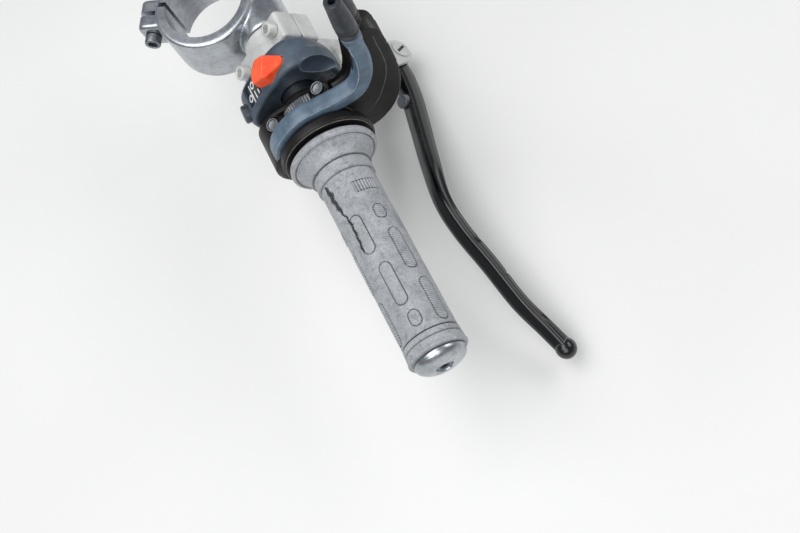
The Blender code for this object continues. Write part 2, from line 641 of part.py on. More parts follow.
def make_boot(name, frame, rubber):
    """A rubber boot: a short straight foot, a taper and a hole for the cable in its top."""
    foot = BOOT_LENGTH * BOOT_FOOT_SHARE
    revolve(name, [(0, 0), (BOOT_D / 2, 0), (BOOT_D / 2, foot), (BOOT_TOP_D / 2, BOOT_LENGTH),
                   (CABLE_HOLE_D / 2, BOOT_LENGTH), (CABLE_HOLE_D / 2, foot), (0, foot)], frame, rubber,
            SMALL_SIDES)


def strip_outline():
    """The saddle strip's section: a plain arc below and saw teeth above."""
    inner = NECK_D / 2 + SEAT_GAP
    outer = inner + STRIP_THICK
    count = 2 * STRIP_STEPS * STRIP_TEETH
    angles = [math.pi / 2 + STRIP_HALF_ANGLE * (2 * i / count - 1) for i in range(count + 1)]
    top = []
    for i, angle in enumerate(angles):
        tooth = abs((i / STRIP_STEPS) % 2 - 1)
        radius = outer - STRIP_TOOTH * tooth
        top.append((radius * math.cos(angle), radius * math.sin(angle)))
    below = [(inner * math.cos(a), inner * math.sin(a)) for a in reversed(angles)]
    return top + below


def strip_seat_outline():
    """The section of the space that the housing leaves for the strip: a part of a ring."""
    inner, outer = NECK_D / 2 + SEAT_GAP / 2, 2 * HOUSING_BACK_R
    reach = STRIP_HALF_ANGLE + STRIP_SEAT_SPARE
    angles = [math.pi / 2 + reach * (2 * i / STRIP_TEETH - 1) for i in range(STRIP_TEETH + 1)]
    return ([(inner * math.cos(a), inner * math.sin(a)) for a in angles]
            + [(outer * math.cos(a), outer * math.sin(a)) for a in reversed(angles)])


def pod_radius(angle):
    """The pod's radius round the bar: a circle that swells in a hood on top and behind the bar."""
    radius = POD_R
    for place, rise, spread in ((HOOD_ANGLE, HOOD_RISE, HOOD_SPREAD), (BACK_ANGLE, BACK_RISE, BACK_SPREAD)):
        off = (angle - place + math.pi) % math.tau - math.pi
        radius += rise * math.exp(-(off / spread) ** 2)
    return radius


def pod_outline():
    """Points of the pod's section in y and z."""
    points = []
    for i in range(ROUND_SIDES):
        angle = math.tau * i / ROUND_SIDES
        radius = pod_radius(angle)
        points.append((radius * math.cos(angle), radius * math.sin(angle)))
    return points


def switch_frame(place):
    """A frame on the pod's surface, at a place round and along it: x along the bar and z outwards."""
    angle, offset = place
    middle = Matrix.Translation(((POD_INNER_X + POD_OUTER_X) / 2 + offset, 0, 0))
    turn = Matrix.Rotation(angle - math.pi / 2, 4, "X")
    return bar_frame() @ middle @ turn @ Matrix.Translation((0, 0, pod_radius(angle)))


def make_switch_pod(plastic, red, grey, panel):
    """The switch pod in two halves, with the kill switch, the starter button and a blank label."""
    level, tilted = bar_frame(), bar_frame(POD_TILT)
    knob, button, label = (switch_frame(place) for place in (KNOB_PLACE, BUTTON_PLACE, LABEL_PLACE))
    knob = knob @ Matrix.Rotation(KNOB_TURN, 4, "Z")
    length, width = KNOB_SIZE
    seat = [((length + 2 * SEAT_GAP) * a, (width + 2 * SEAT_GAP) * b) for a, b in KNOB_PLAN_SHARES]
    for name, upper in (("switch_pod_lower", False), ("switch_pod_upper", True)):
        half = prism(name, pod_outline(), POD_INNER_X, POD_OUTER_X, level, plastic, bevel=POD_EDGE)
        if upper:
            join(half, prism("pod_nose", belt(NOSE_ROOT, NOSE_ROOT_R, NOSE_TIP, NOSE_TIP_R),
                             POD_OUTER_X - OVERRUN, POD_OUTER_X + NOSE_REACH, level, bevel=EDGE))
            cut(half,
                prism("kill_switch_pocket", seat, -SWITCH_POCKET, KNOB_HEIGHT, knob @ FLAT),
                rod("starter_pocket", BUTTON_D + 2 * SEAT_GAP, -SWITCH_POCKET, OVERRUN, button),
                pocket("label_pocket", LABEL_SIZE, LABEL_THICK * 2, label))
        cut(half, prism(name + "_bore", circle((0, 0), SEAT_R), POD_INNER_X - OVERRUN,
                        POD_OUTER_X + OVERRUN, level))
        split(half, tilted, upper, 2 * (POD_R + HOOD_RISE))

    foot, crown = -SWITCH_POCKET + SEAT_GAP, KNOB_HEIGHT
    side = crown * KNOB_SIDE_SHARE
    ridge = width * (KNOB_RIDGE_SHARE - 1 / 2)
    outline = [(-width / 2, foot), (width / 2, foot), (width / 2, side), (ridge, crown), (-width / 2, side)]
    plan = [(length * a, width * b) for a, b in KNOB_PLAN_SHARES]
    paddle = prism("kill_switch", outline, -length / 2, length / 2, knob, red)
    use_tool(paddle, prism("kill_switch_plan", plan, foot - OVERRUN, crown + OVERRUN, knob @ FLAT), "INTERSECT")
    round_edges(paddle, EDGE)
    rod("starter_button", BUTTON_D, foot, BUTTON_HEIGHT, button, grey)
    length, width = LABEL_SIZE
    floor = -2 * LABEL_THICK + SEAT_GAP
    box("switch_label", (-length / 2, -width / 2, floor), (length / 2, width / 2, floor + LABEL_THICK),
        label, panel)


def pocket(name, size, depth, frame):
    """A block that cuts a seat for a piece of the given length and width."""
    a, b = size[0] / 2 + SEAT_GAP, size[1] / 2 + SEAT_GAP
    return box(name, (-a, -b, -depth), (a, b, depth), frame)


def make_master_cylinder(casting, cap_alloy, zinc, steel, rubber):
    """The master cylinder: clamp on the bar, web, cylinder and perch ears, with its fittings."""
    lever = bar_frame(-LEVER_TILT)
    plate = lever @ FLAT
    x0, x1 = MASTER_INNER_X, MASTER_OUTER_X
    lug = MASTER_SCREW_SPREAD + MASTER_CLAMP_LUG
    ring = circle((0, 0), SEAT_R + MASTER_CLAMP_WALL)
    forward = along(lever, PUSH_X, 0, 0, (0, 1, 0))
    ear = LEVER_HEIGHT / 2 + RUN_GAP + PERCH_EAR_THICK

    body = box("master_cylinder", (x0, SEAT_GAP, -lug), (x1, MASTER_CLAMP_DEPTH, lug), lever, casting,
               bevel=EDGE)
    join(body,
         box("master_web", (x0, MASTER_CLAMP_DEPTH - OVERRUN, -WEB_WIDTH / 2),
             (x1, CYLINDER_END - CYLINDER_D / 2, WEB_WIDTH / 2), lever),
         rod("master_barrel", CYLINDER_D, CYLINDER_START, CYLINDER_END, forward, sides=ROUND_SIDES),
         prism("master_perch", belt((PUSH_X, CYLINDER_END - CYLINDER_D / 2), CYLINDER_D / 2 - EDGE,
                                    (PIVOT_X, PIVOT_R), PERCH_R), -ear, ear, plate),
         rod("port_boss", BANJO_D, -CYLINDER_D / 2 - EDGE, CYLINDER_D / 2 + EDGE,
             along(lever, PUSH_X, PORT_R, 0, (0, 0, 1))))
    slot = LEVER_HEIGHT / 2 + RUN_GAP
    side = PIVOT_X - 2 * PERCH_R
    cut(body,
        prism("master_bore", circle((0, 0), SEAT_R), x0 - OVERRUN, x1 + OVERRUN, lever),
        box("lever_slot", (side, CYLINDER_END, -slot), (PUSH_X + CYLINDER_D, PIVOT_R + 2 * PERCH_R, slot), lever),
        rod("pivot_hole", PIVOT_D + 2 * SEAT_GAP, -ear - OVERRUN, ear + OVERRUN,
            along(lever, PIVOT_X, PIVOT_R, 0, (0, 0, 1))),
        rod("piston_bore", PUSH_ROD_D + 2 * RUN_GAP, CYLINDER_END - PUSH_ROD_INSIDE - PUSH_STROKE,
            CYLINDER_END + OVERRUN, forward))

    cap = prism("master_clamp_cap", ring, x0, x1, lever, cap_alloy)
    join(cap, box("cap_lugs", (x0, -MASTER_CLAMP_DEPTH, -lug), (x1, 0, lug), lever))
    cut(cap,
        prism("cap_bore", circle((0, 0), SEAT_R), x0 - OVERRUN, x1 + OVERRUN, lever),
        box("cap_split", (x0 - OVERRUN, -SEAT_GAP, -2 * lug), (x1 + OVERRUN, 2 * lug, 2 * lug), lever))
    for side, place in ((1, "upper"), (-1, "lower")):
        seat = along(lever, MASTER_CLAMP_X, -MASTER_CLAMP_DEPTH, side * MASTER_SCREW_SPREAD, (0, -1, 0))
        shank = MASTER_CLAMP_DEPTH + SCREW_DEPTH
        for part in (body, cap):
            cut(part, rod(f"{part.name}_hole_{place}", MASTER_SCREW[2] + 2 * SEAT_GAP,
                          -shank - OVERRUN, OVERRUN, seat))
        socket_screw(f"clamp_screw_{place}", MASTER_SCREW, shank, seat, zinc)

    make_fittings(lever, ear, steel, rubber, zinc)


def make_fittings(lever, ear, steel, rubber, zinc):
    """Hose port, banjo bolt, gaiter, push rod, and the lever's pivot bolt and nut."""
    face = CYLINDER_D / 2 + EDGE + SEAT_GAP
    up = along(lever, PUSH_X, PORT_R, face, (0, 0, 1))
    down = along(lever, PUSH_X, PORT_R, -face, (0, 0, -1))
    revolve("reservoir_port", [(0, 0), (PORT_D / 2, 0), (PORT_D / 2, PORT_HEIGHT), (BARB_D / 2, PORT_HEIGHT),
                               (BARB_D / 2, PORT_HEIGHT + BARB_LENGTH), (0, PORT_HEIGHT + BARB_LENGTH)],
            up, rubber, SMALL_SIDES)
    rod("banjo_bolt", BANJO_D, 0, BANJO_HEIGHT, down, zinc, sides=6)

    mouth = along(lever, PUSH_X, CYLINDER_END + SEAT_GAP, 0, (0, 1, 0))
    bore = PUSH_ROD_D / 2 + RUN_GAP
    revolve("cylinder_gaiter", [(bore, 0), (GAITER_D / 2, 0), (bore + GAITER_WALL, GAITER_LENGTH),
                                (bore, GAITER_LENGTH)], mouth, rubber, SMALL_SIDES)
    tip = PIVOT_R - PAD_DROP - SEAT_GAP
    dome_r = PUSH_ROD_D / 2
    dome = [(dome_r * math.cos(a), tip - dome_r + dome_r * math.sin(a))
            for a in [math.pi / 2 * i / DOME_STEPS for i in range(DOME_STEPS)]]
    start = CYLINDER_END - PUSH_ROD_INSIDE
    revolve("push_rod", [(0, start), (dome_r, start), *dome, (0, tip)],
            along(lever, PUSH_X, 0, 0, (0, 1, 0)), steel, SMALL_SIDES)

    pivot = along(lever, PIVOT_X, PIVOT_R, 0, (0, 0, 1))
    top, bottom = ear + SEAT_GAP, -ear - SEAT_GAP
    end = bottom - PIVOT_NUT_HEIGHT
    head = top + PIVOT_HEAD_HEIGHT
    bolt = revolve("pivot_bolt", [(0, end), (PIVOT_D / 2, end), (PIVOT_D / 2, top), (PIVOT_HEAD_D / 2, top),
                                  (PIVOT_HEAD_D / 2, head), (0, head)], pivot, steel, SMALL_SIDES)
    length, width, depth = PIVOT_SLOT
    cut(bolt, box("pivot_slot", (-length / 2, -width / 2, head - depth), (length / 2, width / 2, head + OVERRUN),
                  pivot))
    nut = rod("pivot_nut", PIVOT_NUT_D, end, bottom, pivot, zinc, 6)
    cut(nut, rod("nut_bore", PIVOT_D + 2 * SEAT_GAP, end - OVERRUN, bottom + OVERRUN, pivot))


def make_brake_lever(black, steel):
    """The lever, turning on its pivot, with its tip bead, its pad on the push rod and its adjuster."""
    lever = bar_frame(-LEVER_TILT)
    pivot = lever @ Matrix.Translation((PIVOT_X, PIVOT_R, 0))
    stations = [Vector((LEVER_REACH * a, -LEVER_DIP * d, LEVER_THICK * t, LEVER_HEIGHT * h))
                for a, d, t, h in LEVER_SHARES]
    stations = smooth_path(stations, SWEEP_STEPS)
    path = [Vector((s[0], s[1], 0)) for s in stations]
    blade = sweep("brake_lever", path, [(s[2], s[3]) for s in stations], Vector((0, 0, 1)), LEVER_POWER,
                  pivot, black, LEVER_SIDES)
    tip = pivot @ Matrix.Translation(path[-1])
    bead = [(LEVER_TIP_D / 2 * math.cos(a), LEVER_TIP_D / 2 * math.sin(a))
            for a in [math.pi * (i / (2 * DOME_STEPS) - 1 / 2) for i in range(1, 2 * DOME_STEPS)]]
    seat = along(pivot, PIVOT_TO_PUSH, -PAD_DROP, 0, (0, 1, 0))
    join(blade,
         rod("lever_eye", LEVER_EYE_D, -LEVER_HEIGHT / 2, LEVER_HEIGHT / 2, pivot, sides=ROUND_SIDES),
         revolve("lever_bead", [(0, -LEVER_TIP_D / 2), *bead, (0, LEVER_TIP_D / 2)], tip, None, SMALL_SIDES),
         rod("lever_pad", PAD_D, 0, PAD_DROP, seat))
    adjuster = along(pivot, ADJUSTER_ALONG, -ADJUSTER_DROP, 0, (0, -1, 0))
    cut(blade,
        rod("lever_pivot_hole", PIVOT_D + 2 * SEAT_GAP, -LEVER_HEIGHT, LEVER_HEIGHT, pivot),
        rod("adjuster_pocket", ADJUSTER_D + 2 * SEAT_GAP, -SEAT_GAP, LEVER_THICK, adjuster))
    rod("span_adjuster", ADJUSTER_D, 0, ADJUSTER_HEIGHT, adjuster, steel)


def main():
    for obj in list(bpy.data.objects):
        bpy.data.objects.remove(obj, do_unlink=True)
    alloy = colour("polished_alloy", "C9CBD0", 0.22, 1)
    casting = colour("cast_alloy", "D8D3C4", 0.45, 0.6)
    steel = colour("bar_steel", "8A8D92", 0.35, 1)
    zinc = colour("zinc_screw", "B9BCC0", 0.32, 1)
    plastic = colour("black_plastic", "1B1D20", 0.5, 0)
    rubber = colour("grip_rubber", "7C7F83", 0.8, 0)
    boot = colour("boot_rubber", "232528", 0.7, 0)
    lever_black = colour("lever_black", "0C0D0F", 0.25, 0)
    red = colour("kill_red", "F0401F", 0.4, 0)
    grey = colour("button_grey", "8F949B", 0.5, 0)
    panel = colour("label_black", "16181B", 0.4, 0)

    make_fork_clamp(alloy, zinc)
    make_bar(steel, alloy, zinc)
    make_twist_grip(plastic, rubber)
    make_throttle_housing(plastic, zinc, boot)
    make_switch_pod(plastic, red, grey, panel)
    make_master_cylinder(casting, alloy, zinc, steel, boot)
    make_brake_lever(lever_black, zinc)


main()
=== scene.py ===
import math

import bmesh
import bpy
import numpy as np
from mathutils import Matrix, Vector


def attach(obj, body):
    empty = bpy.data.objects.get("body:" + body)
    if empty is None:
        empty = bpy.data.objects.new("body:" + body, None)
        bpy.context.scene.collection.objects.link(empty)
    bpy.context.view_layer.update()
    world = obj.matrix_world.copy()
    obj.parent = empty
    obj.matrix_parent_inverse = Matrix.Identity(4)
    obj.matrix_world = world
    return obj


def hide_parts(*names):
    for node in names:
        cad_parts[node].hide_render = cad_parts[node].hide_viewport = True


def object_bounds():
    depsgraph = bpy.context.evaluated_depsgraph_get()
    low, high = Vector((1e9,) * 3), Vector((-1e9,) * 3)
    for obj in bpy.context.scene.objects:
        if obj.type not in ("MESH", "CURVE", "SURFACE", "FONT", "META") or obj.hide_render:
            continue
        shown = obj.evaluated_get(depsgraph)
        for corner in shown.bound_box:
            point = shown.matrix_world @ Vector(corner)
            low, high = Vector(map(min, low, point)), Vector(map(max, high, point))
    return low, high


# Looks of a motorcycle's right-hand handlebar control: fork clamp, bar, brake master cylinder and
# lever, switch pod, throttle housing with its cable elbow, twist grip and bar end.
# Shapes are worked out in millimetres and put into the row frame in metres.

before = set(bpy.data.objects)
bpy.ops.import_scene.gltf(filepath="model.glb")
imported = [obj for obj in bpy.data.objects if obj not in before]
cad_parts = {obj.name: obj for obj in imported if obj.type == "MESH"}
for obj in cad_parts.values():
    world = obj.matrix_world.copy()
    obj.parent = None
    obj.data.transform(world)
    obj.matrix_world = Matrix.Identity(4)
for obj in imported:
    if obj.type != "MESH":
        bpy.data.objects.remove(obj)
cad_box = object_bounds()

MM = 0.001
DEG = math.pi / 180
FULL = 2 * math.pi

# Places along the bar, from the fork tube's axis
BAR_Y = 24
FORK_BOSS_END = 37
CLAMP_X = (38, 58)
POD_X = (64, 86)
HOUSING_X = (88, 125)
FLANGE_X = 130
GRIP_END_X = 264

# Radii on the bar: of what is clamped to it, and of the grip
SEAT_R = 11.4
GRIP_R = 16.25

# In the lever's plane: the pivot, and the cylinder's place along the bar and its length forwards
LEVER_TILT = 50 * DEG
PIVOT = (46, 92)
PUSH_X = 56
CYLINDER_Y = (34, 71)

# The housing's and pod's split, the housing's screws either side of the bar, and the clamp's ears
SPLIT_TILT = 16 * DEG
HOUSING_SCREW = (98, 17)
EARS_TURN = -30 * DEG
PINCH_Y = -39.5

PARTING_GAP = 0.07


# Frames: each is (origin, matrix whose columns are its axes), in millimetres of the row frame

def bar_frame(turn=0.0, x=0.0):
    """Along the bar: x outwards, y forwards and z up, both turned about the bar."""
    c, s = math.cos(turn), math.sin(turn)
    return np.array((x, BAR_Y, 0.0)), np.array(((1, 0, 0), (0, c, -s), (0, s, c)), float)


def at(base, point, along=None, side=(1.0, 0.0, 0.0)):
    """A frame at a point of another one, with its z along the given direction there, and its x as
    near as can be to the side direction."""
    origin, axes = base
    if along is None:
        return origin + axes @ np.array(point, float), axes
    z = np.array(along, float) / np.linalg.norm(along)
    x = np.array(side, float)
    x = x - (x @ z) * z
    x /= np.linalg.norm(x)
    return origin + axes @ np.array(point, float), axes @ np.stack((x, np.cross(z, x), z), axis=1)


def put(shell, where):
    """A shell's points moved from its own frame to the row frame."""
    origin, axes = where
    return shell @ axes.T + origin


def spun(base, turn):
    """A frame turned about its own z."""
    origin, axes = base
    c, s = math.cos(turn), math.sin(turn)
    return origin, axes @ np.array(((c, -s, 0), (s, c, 0), (0, 0, 1)))


def wrapped(angle):
    """An angle brought to within half a turn of 0."""
    return (angle + math.pi) % FULL - math.pi


BAR = bar_frame()
OUTWARDS = at(BAR, (0, 0, 0), (1, 0, 0), (0, 1, 0))
SPLIT = bar_frame(SPLIT_TILT)
LEVER = bar_frame(-LEVER_TILT)
LEVER_EYE = at(LEVER, (*PIVOT, 0))
CAP_SEATS = [at(LEVER, (48, -13, z), (0, -1, 0)) for z in (-18, 18)]
BEHIND = spun((np.zeros(3), np.eye(3)), EARS_TURN)


# Shells: arrays of points, rows by columns by 3. Each row is a closed loop of columns, and the first
# and last rows either close to a point or lie on each other, so that every shell is closed.

def rounded(profile, radius, steps=5):
    """A profile of (a, b) points with each inner corner swapped for a quadratic curve that leaves
    it at most the given length away on both sides: p(t) = (1-t)^2 start + 2t(1-t) corner + t^2 end."""
    profile = np.array(profile, float)
    radii = np.broadcast_to(radius, len(profile))
    t = np.linspace(0, 1, steps)[:, None]
    out = [profile[:1]]
    for before, corner, after, r in zip(profile, profile[1:], profile[2:], radii[1:]):
        back, ahead = before - corner, after - corner
        reach = min(r, np.linalg.norm(back) * 0.45, np.linalg.norm(ahead) * 0.45)
        start = corner + back / np.linalg.norm(back) * reach
        end = corner + ahead / np.linalg.norm(ahead) * reach
        out.append((1 - t) ** 2 * start + 2 * t * (1 - t) * corner + t ** 2 * end)
    return np.concatenate(out + [profile[-1:]])


def turned(profile, sides=96):
    """A profile of (radius, height) turned about z: x = radius cos(angle), y = radius sin(angle).
    A radius is one number, or one for each angle."""
    angle = np.linspace(0, FULL, sides, endpoint=False)
    radius = np.stack([np.broadcast_to(r, sides) for r, _ in profile])
    height = np.array([[h] for _, h in profile], float)
    return np.stack((radius * np.cos(angle), radius * np.sin(angle), height + 0 * angle), axis=2)


def rod(radius, low, high, sides=96, edge=None, steps=5):
    """A round bar along z between two heights, its rims rounded where an edge is given."""
    profile = [(0, low), (radius, low), (radius, high), (0, high)]
    return turned(profile if edge is None else rounded(profile, edge, steps), sides)


def hexagon(apothem, sides=96):
    """A hexagon's radius at each angle: apothem / cos(angle from the middle of the nearest flat)."""
    angle = np.linspace(0, FULL, sides, endpoint=False)
    return apothem / np.cos((angle + math.pi / 6) % (math.pi / 3) - math.pi / 6)


def slab(outline, low, high, edge=1.0, steps=4, centre=None):
    """An outline in y and z carried along x, its rim rounded: each row is the outline moved inwards
    along its normals by edge(1 - sin a), at edge(1 - cos a) from its end, and both ends close at
    the centre."""
    outline = np.array(outline, float)
    ahead = np.roll(outline, -1, axis=0) - np.roll(outline, 1, axis=0)
    normal = np.stack((ahead[:, 1], -ahead[:, 0]), axis=1)
    normal /= np.linalg.norm(normal, axis=1)[:, None]
    middle = outline.mean(axis=0) if centre is None else np.array(centre, float)
    a = np.linspace(0, math.pi / 2, steps + 1)
    inset = edge * (1 - np.sin(a))
    height = edge * (1 - np.cos(a))[::-1]
    rows = [np.repeat(middle[None], len(outline), axis=0)]
    places = [low]
    for k in range(steps + 1):
        rows.append(outline - normal * inset[k])
        places.append(low + edge - height[k])
    for k in range(steps, -1, -1):
        rows.append(outline - normal * inset[k])
        places.append(high - edge + height[k])
    rows.append(rows[0])
    places.append(high)
    rows = np.stack(rows)
    x = np.repeat(np.array(places, float)[:, None], len(outline), axis=1)
    return np.concatenate((x[:, :, None], rows), axis=2)


def corner_loop(points, radius, steps=6):
    """A closed polygon with rounded corners, anticlockwise."""
    points = [np.array(p, float) for p in points]
    n = len(points)
    radii = np.broadcast_to(radius, n)
    t = np.linspace(0, 1, steps)[:, None]
    out = []
    for i in range(n):
        corner, back, ahead = points[i], points[i - 1] - points[i], points[(i + 1) % n] - points[i]
        reach = min(radii[i], np.linalg.norm(back) * 0.48, np.linalg.norm(ahead) * 0.48)
        start = corner + back / np.linalg.norm(back) * reach
        end = corner + ahead / np.linalg.norm(ahead) * reach
        out.append((1 - t) ** 2 * start + 2 * t * (1 - t) * corner + t ** 2 * end)
    return np.concatenate(out)


def oblong(a, b, c, d, radius=None):
    """A rectangle's outline from (a, b) to (c, d), its corners rounded where a radius is given."""
    corners = [(a, b), (c, b), (c, d), (a, d)]
    return corners if radius is None else corner_loop(corners, radius)


def belt(first, first_r, second, second_r, steps=40):
    """The outline of a belt round two circles, anticlockwise."""
    first, second = np.array(first, float), np.array(second, float)
    reach = second - first
    lean = math.acos((first_r - second_r) / np.linalg.norm(reach))
    heading = math.atan2(reach[1], reach[0])
    arcs = []
    for centre, radius, start, sweep in ((second, second_r, heading - lean, 2 * lean),
                                         (first, first_r, heading + lean, FULL - 2 * lean)):
        a = start + sweep * np.linspace(0, 1, steps)
        arcs.append(centre + radius * np.stack((np.cos(a), np.sin(a)), axis=1))
    return np.concatenate(arcs)


def smooth_path(points, count):
    """A Catmull-Rom curve through the points, at evenly counted steps."""
    points = np.array(points, float)
    padded = np.concatenate((2 * points[:1] - points[1:2], points, 2 * points[-1:] - points[-2:-1]))
    place = np.linspace(0, len(points) - 1, count)
    k = np.minimum(place.astype(int), len(points) - 2)
    t = (place - k)[:, None]
    a, b, c, d = (padded[k + i] for i in range(4))
    return 0.5 * (2 * b + (c - a) * t + (2 * a - 5 * b + 4 * c - d) * t ** 2
                  + (3 * b - 3 * c + d - a) * t ** 3)


def carried(path, across_r, up_r, side, power=2.0, columns=48, shape=None):
    """A superellipse section carried along a path: |a / across_r|^power + |b / up_r|^power = 1,
    with a across the path and b towards the side direction. Shape scales the section by row and
    angle. Both ends close at the path's own ends."""
    path = np.array(path, float)
    ahead = np.gradient(path, axis=0)
    ahead /= np.linalg.norm(ahead, axis=1)[:, None]
    across = np.cross(np.array(side, float), ahead)
    across /= np.linalg.norm(across, axis=1)[:, None]
    up = np.cross(ahead, across)
    angle = np.linspace(0, FULL, columns, endpoint=False)
    c, s = np.cos(angle), np.sin(angle)
    p = np.broadcast_to(np.array(power, float), len(path))[:, None]
    a = np.sign(c) * np.abs(c) ** (2 / p) * np.broadcast_to(across_r, len(path))[:, None]
    b = np.sign(s) * np.abs(s) ** (2 / p) * np.broadcast_to(up_r, len(path))[:, None]
    if shape is not None:
        a, b = a * shape, b * shape
    rows = path[:, None] + a[:, :, None] * across[:, None] + b[:, :, None] * up[:, None]
    ends = np.repeat(path[[0, -1]][:, None], columns, axis=1)
    return np.concatenate((ends[:1], rows, ends[1:]))


# Objects

def mesh_of(name, shells, relief=None):
    """A mesh of closed shells: four-cornered faces between neighbouring rows and columns, with the
    seams and poles merged and the faces turned outwards."""
    points, faces, start = [], [], 0
    for shell in shells:
        rows, columns = shell.shape[:2]
        grid = start + np.arange(rows * columns).reshape(rows, columns)
        right = np.roll(grid, -1, axis=1)
        faces.append(np.stack((grid[:-1], right[:-1], right[1:], grid[1:]), axis=2).reshape(-1, 4))
        points.append(shell.reshape(-1, 3) * MM)
        start += rows * columns
    mesh = bpy.data.meshes.new(name)
    mesh.from_pydata(np.concatenate(points), [], np.concatenate(faces).tolist())
    if relief is not None:
        heights = mesh.attributes.new("relief", "FLOAT", "POINT").data
        heights.foreach_set("value", relief.ravel().astype(np.float32))
    bm = bmesh.new()
    bm.from_mesh(mesh)
    bmesh.ops.remove_doubles(bm, verts=bm.verts, dist=2e-6)
    bmesh.ops.recalc_face_normals(bm, faces=bm.faces)
    bm.to_mesh(mesh)
    bm.free()
    return mesh


def blank(name, shells, relief=None):
    """An object of closed shells, not yet dressed."""
    obj = bpy.data.objects.new(name, mesh_of(name, shells, relief))
    bpy.context.scene.collection.objects.link(obj)
    return obj


def piece(name, shells, look, body, slot, *nodes, sharp=40, relief=None):
    """A finished object of closed shells that rides on a body and stands for the CAD nodes."""
    dress(blank(name, shells, relief), look, body, nodes, sharp)


def dress(obj, look, body, nodes, sharp):
    """Gives an object its shading, its finish and its place on the frame."""
    obj.data.shade_smooth()
    obj.data.set_sharp_from_angle(angle=sharp * DEG)
    obj.data.materials.clear()
    obj.data.materials.append(look)
    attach(obj, body)
    if nodes:
        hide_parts(*nodes)


def bake(obj):
    """Applies an object's modifiers to its mesh."""
    graph = bpy.context.evaluated_depsgraph_get()
    mesh = bpy.data.meshes.new_from_object(obj.evaluated_get(graph))
    obj.modifiers.clear()
    obj.data = mesh


def cut_by(obj, shells):
    """Cuts closed shells out of an object."""
    tools = []
    for number, shell in enumerate(shells):
        tool = blank(f"{obj.name}_cut_{number}", [shell])
        cut = obj.modifiers.new(tool.name, "BOOLEAN")
        cut.operation = "DIFFERENCE"
        cut.solver = "EXACT"
        cut.use_hole_tolerant = True
        cut.object = tool
        tools.append(tool)
    bake(obj)
    for tool in tools:
        bpy.data.objects.remove(tool)


def part_at(obj, where):
    """Parts an object at the plane z = 0 of a frame: of two copies of its mesh, each is cut off a
    gap away from the plane, on its own side, and the cut is closed over."""
    origin, axes = where
    halves = bmesh.new()
    for side in (-1, 1):
        half = bmesh.new()
        half.from_mesh(obj.data)
        place = (origin + side * PARTING_GAP * axes[:, 2]) * MM
        bmesh.ops.bisect_plane(half, geom=half.verts[:] + half.edges[:] + half.faces[:], dist=1e-7,
                               plane_co=place, plane_no=-side * axes[:, 2], clear_outer=True)
        rim = [edge for edge in half.edges if edge.is_boundary]
        bmesh.ops.triangle_fill(half, use_beauty=True, edges=rim, normal=-side * axes[:, 2])
        bmesh.ops.recalc_face_normals(half, faces=half.faces)
        kept = bpy.data.meshes.new(obj.name)
        half.to_mesh(kept)
        half.free()
        halves.from_mesh(kept)
        bpy.data.meshes.remove(kept)
    halves.to_mesh(obj.data)
    halves.free()


def moulded(name, shells, cuts, look, body, slot, *nodes, grain=0.5, passes=5, parting=None):
    """Overlapping shells joined to one skin by a voxel remesh and smoothed, as a mould or casting
    leaves its inner corners, then cut by the sharp shells that machining leaves, and parted."""
    obj = blank(name, shells)
    remesh = obj.modifiers.new("skin", "REMESH")
    remesh.mode = "VOXEL"
    remesh.voxel_size = grain * MM
    smooth = obj.modifiers.new("melt", "SMOOTH")
    smooth.factor = 0.5
    smooth.iterations = passes
    bake(obj)
    cut_by(obj, cuts)
    if parting is not None:
        part_at(obj, parting)
    dress(obj, look, body, nodes, 50)


# Finishes

def linear(srgb_hex):
    """An sRGB hex colour as linear red, green, blue and alpha."""
    parts = [int(srgb_hex[i:i + 2], 16) / 255 for i in (0, 2, 4)]
    return *(c / 12.92 if c <= 0.04045 else ((c + 0.055) / 1.055) ** 2.4 for c in parts), 1.0


def add(tree, kind, values=None, links=None, out=0, **settings):
    """Adds a node with its settings, the values of its sockets and the sockets linked to them, and
    gives one of its outputs."""
    made = tree.nodes.new(kind)
    for key, value in settings.items():
        setattr(made, key, value)
    for key, value in (values or {}).items():
        made.inputs[key].default_value = value
    for key, source in (links or {}).items():
        tree.links.new(source, made.inputs[key])
    return made.outputs[out]


# Patterns: each is drawn into a material's tree at the piece's own coordinates, from 0 to 1

def blotches(size, detail=4.0, low=0.35, high=0.65, stretch=(1, 1, 1)):
    """Noise whose blotches are about size millimetres across, longer along an axis whose stretch is
    below 1, and clipped between a low and a high level."""
    def draw(tree, place):
        scaled = add(tree, "ShaderNodeMapping", {"Scale": stretch}, {"Vector": place})
        values = {"Scale": 1 / (size * MM), "Detail": detail, "Roughness": 0.6}
        noise = add(tree, "ShaderNodeTexNoise", values, {"Vector": scaled})
        return add(tree, "ShaderNodeMapRange", {"From Min": low, "From Max": high}, {"Value": noise})
    return draw


def edge_wear_and_highlight(radius, low, high, size):
    """Edges, where the normal rounded over a radius leans from the true one, broken up by noise: real wear on
    some finishes, a painted highlight on others.
    """
    def draw(tree, place):
        soft = add(tree, "ShaderNodeBevel", {"Radius": radius * MM}, samples=6)
        true = add(tree, "ShaderNodeNewGeometry", out="Normal")
        lean = add(tree, "ShaderNodeVectorMath", links={0: soft, 1: true}, out="Value",
                   operation="DOT_PRODUCT")
        edge = add(tree, "ShaderNodeMapRange", {"From Min": high, "From Max": low}, {"Value": lean})
        broken = blotches(size, 5, 0.3, 0.6)(tree, place)
        return add(tree, "ShaderNodeMath", links={0: edge, 1: broken}, operation="MULTIPLY")
    return draw


def relief_between(low, high):
    """The height that a piece's own shape keeps for each point, between two heights."""
    def draw(tree, place):
        height = add(tree, "ShaderNodeAttribute", out="Fac", attribute_name="relief")
        return add(tree, "ShaderNodeMapRange", {"From Min": low, "From Max": high}, {"Value": height})
    return draw


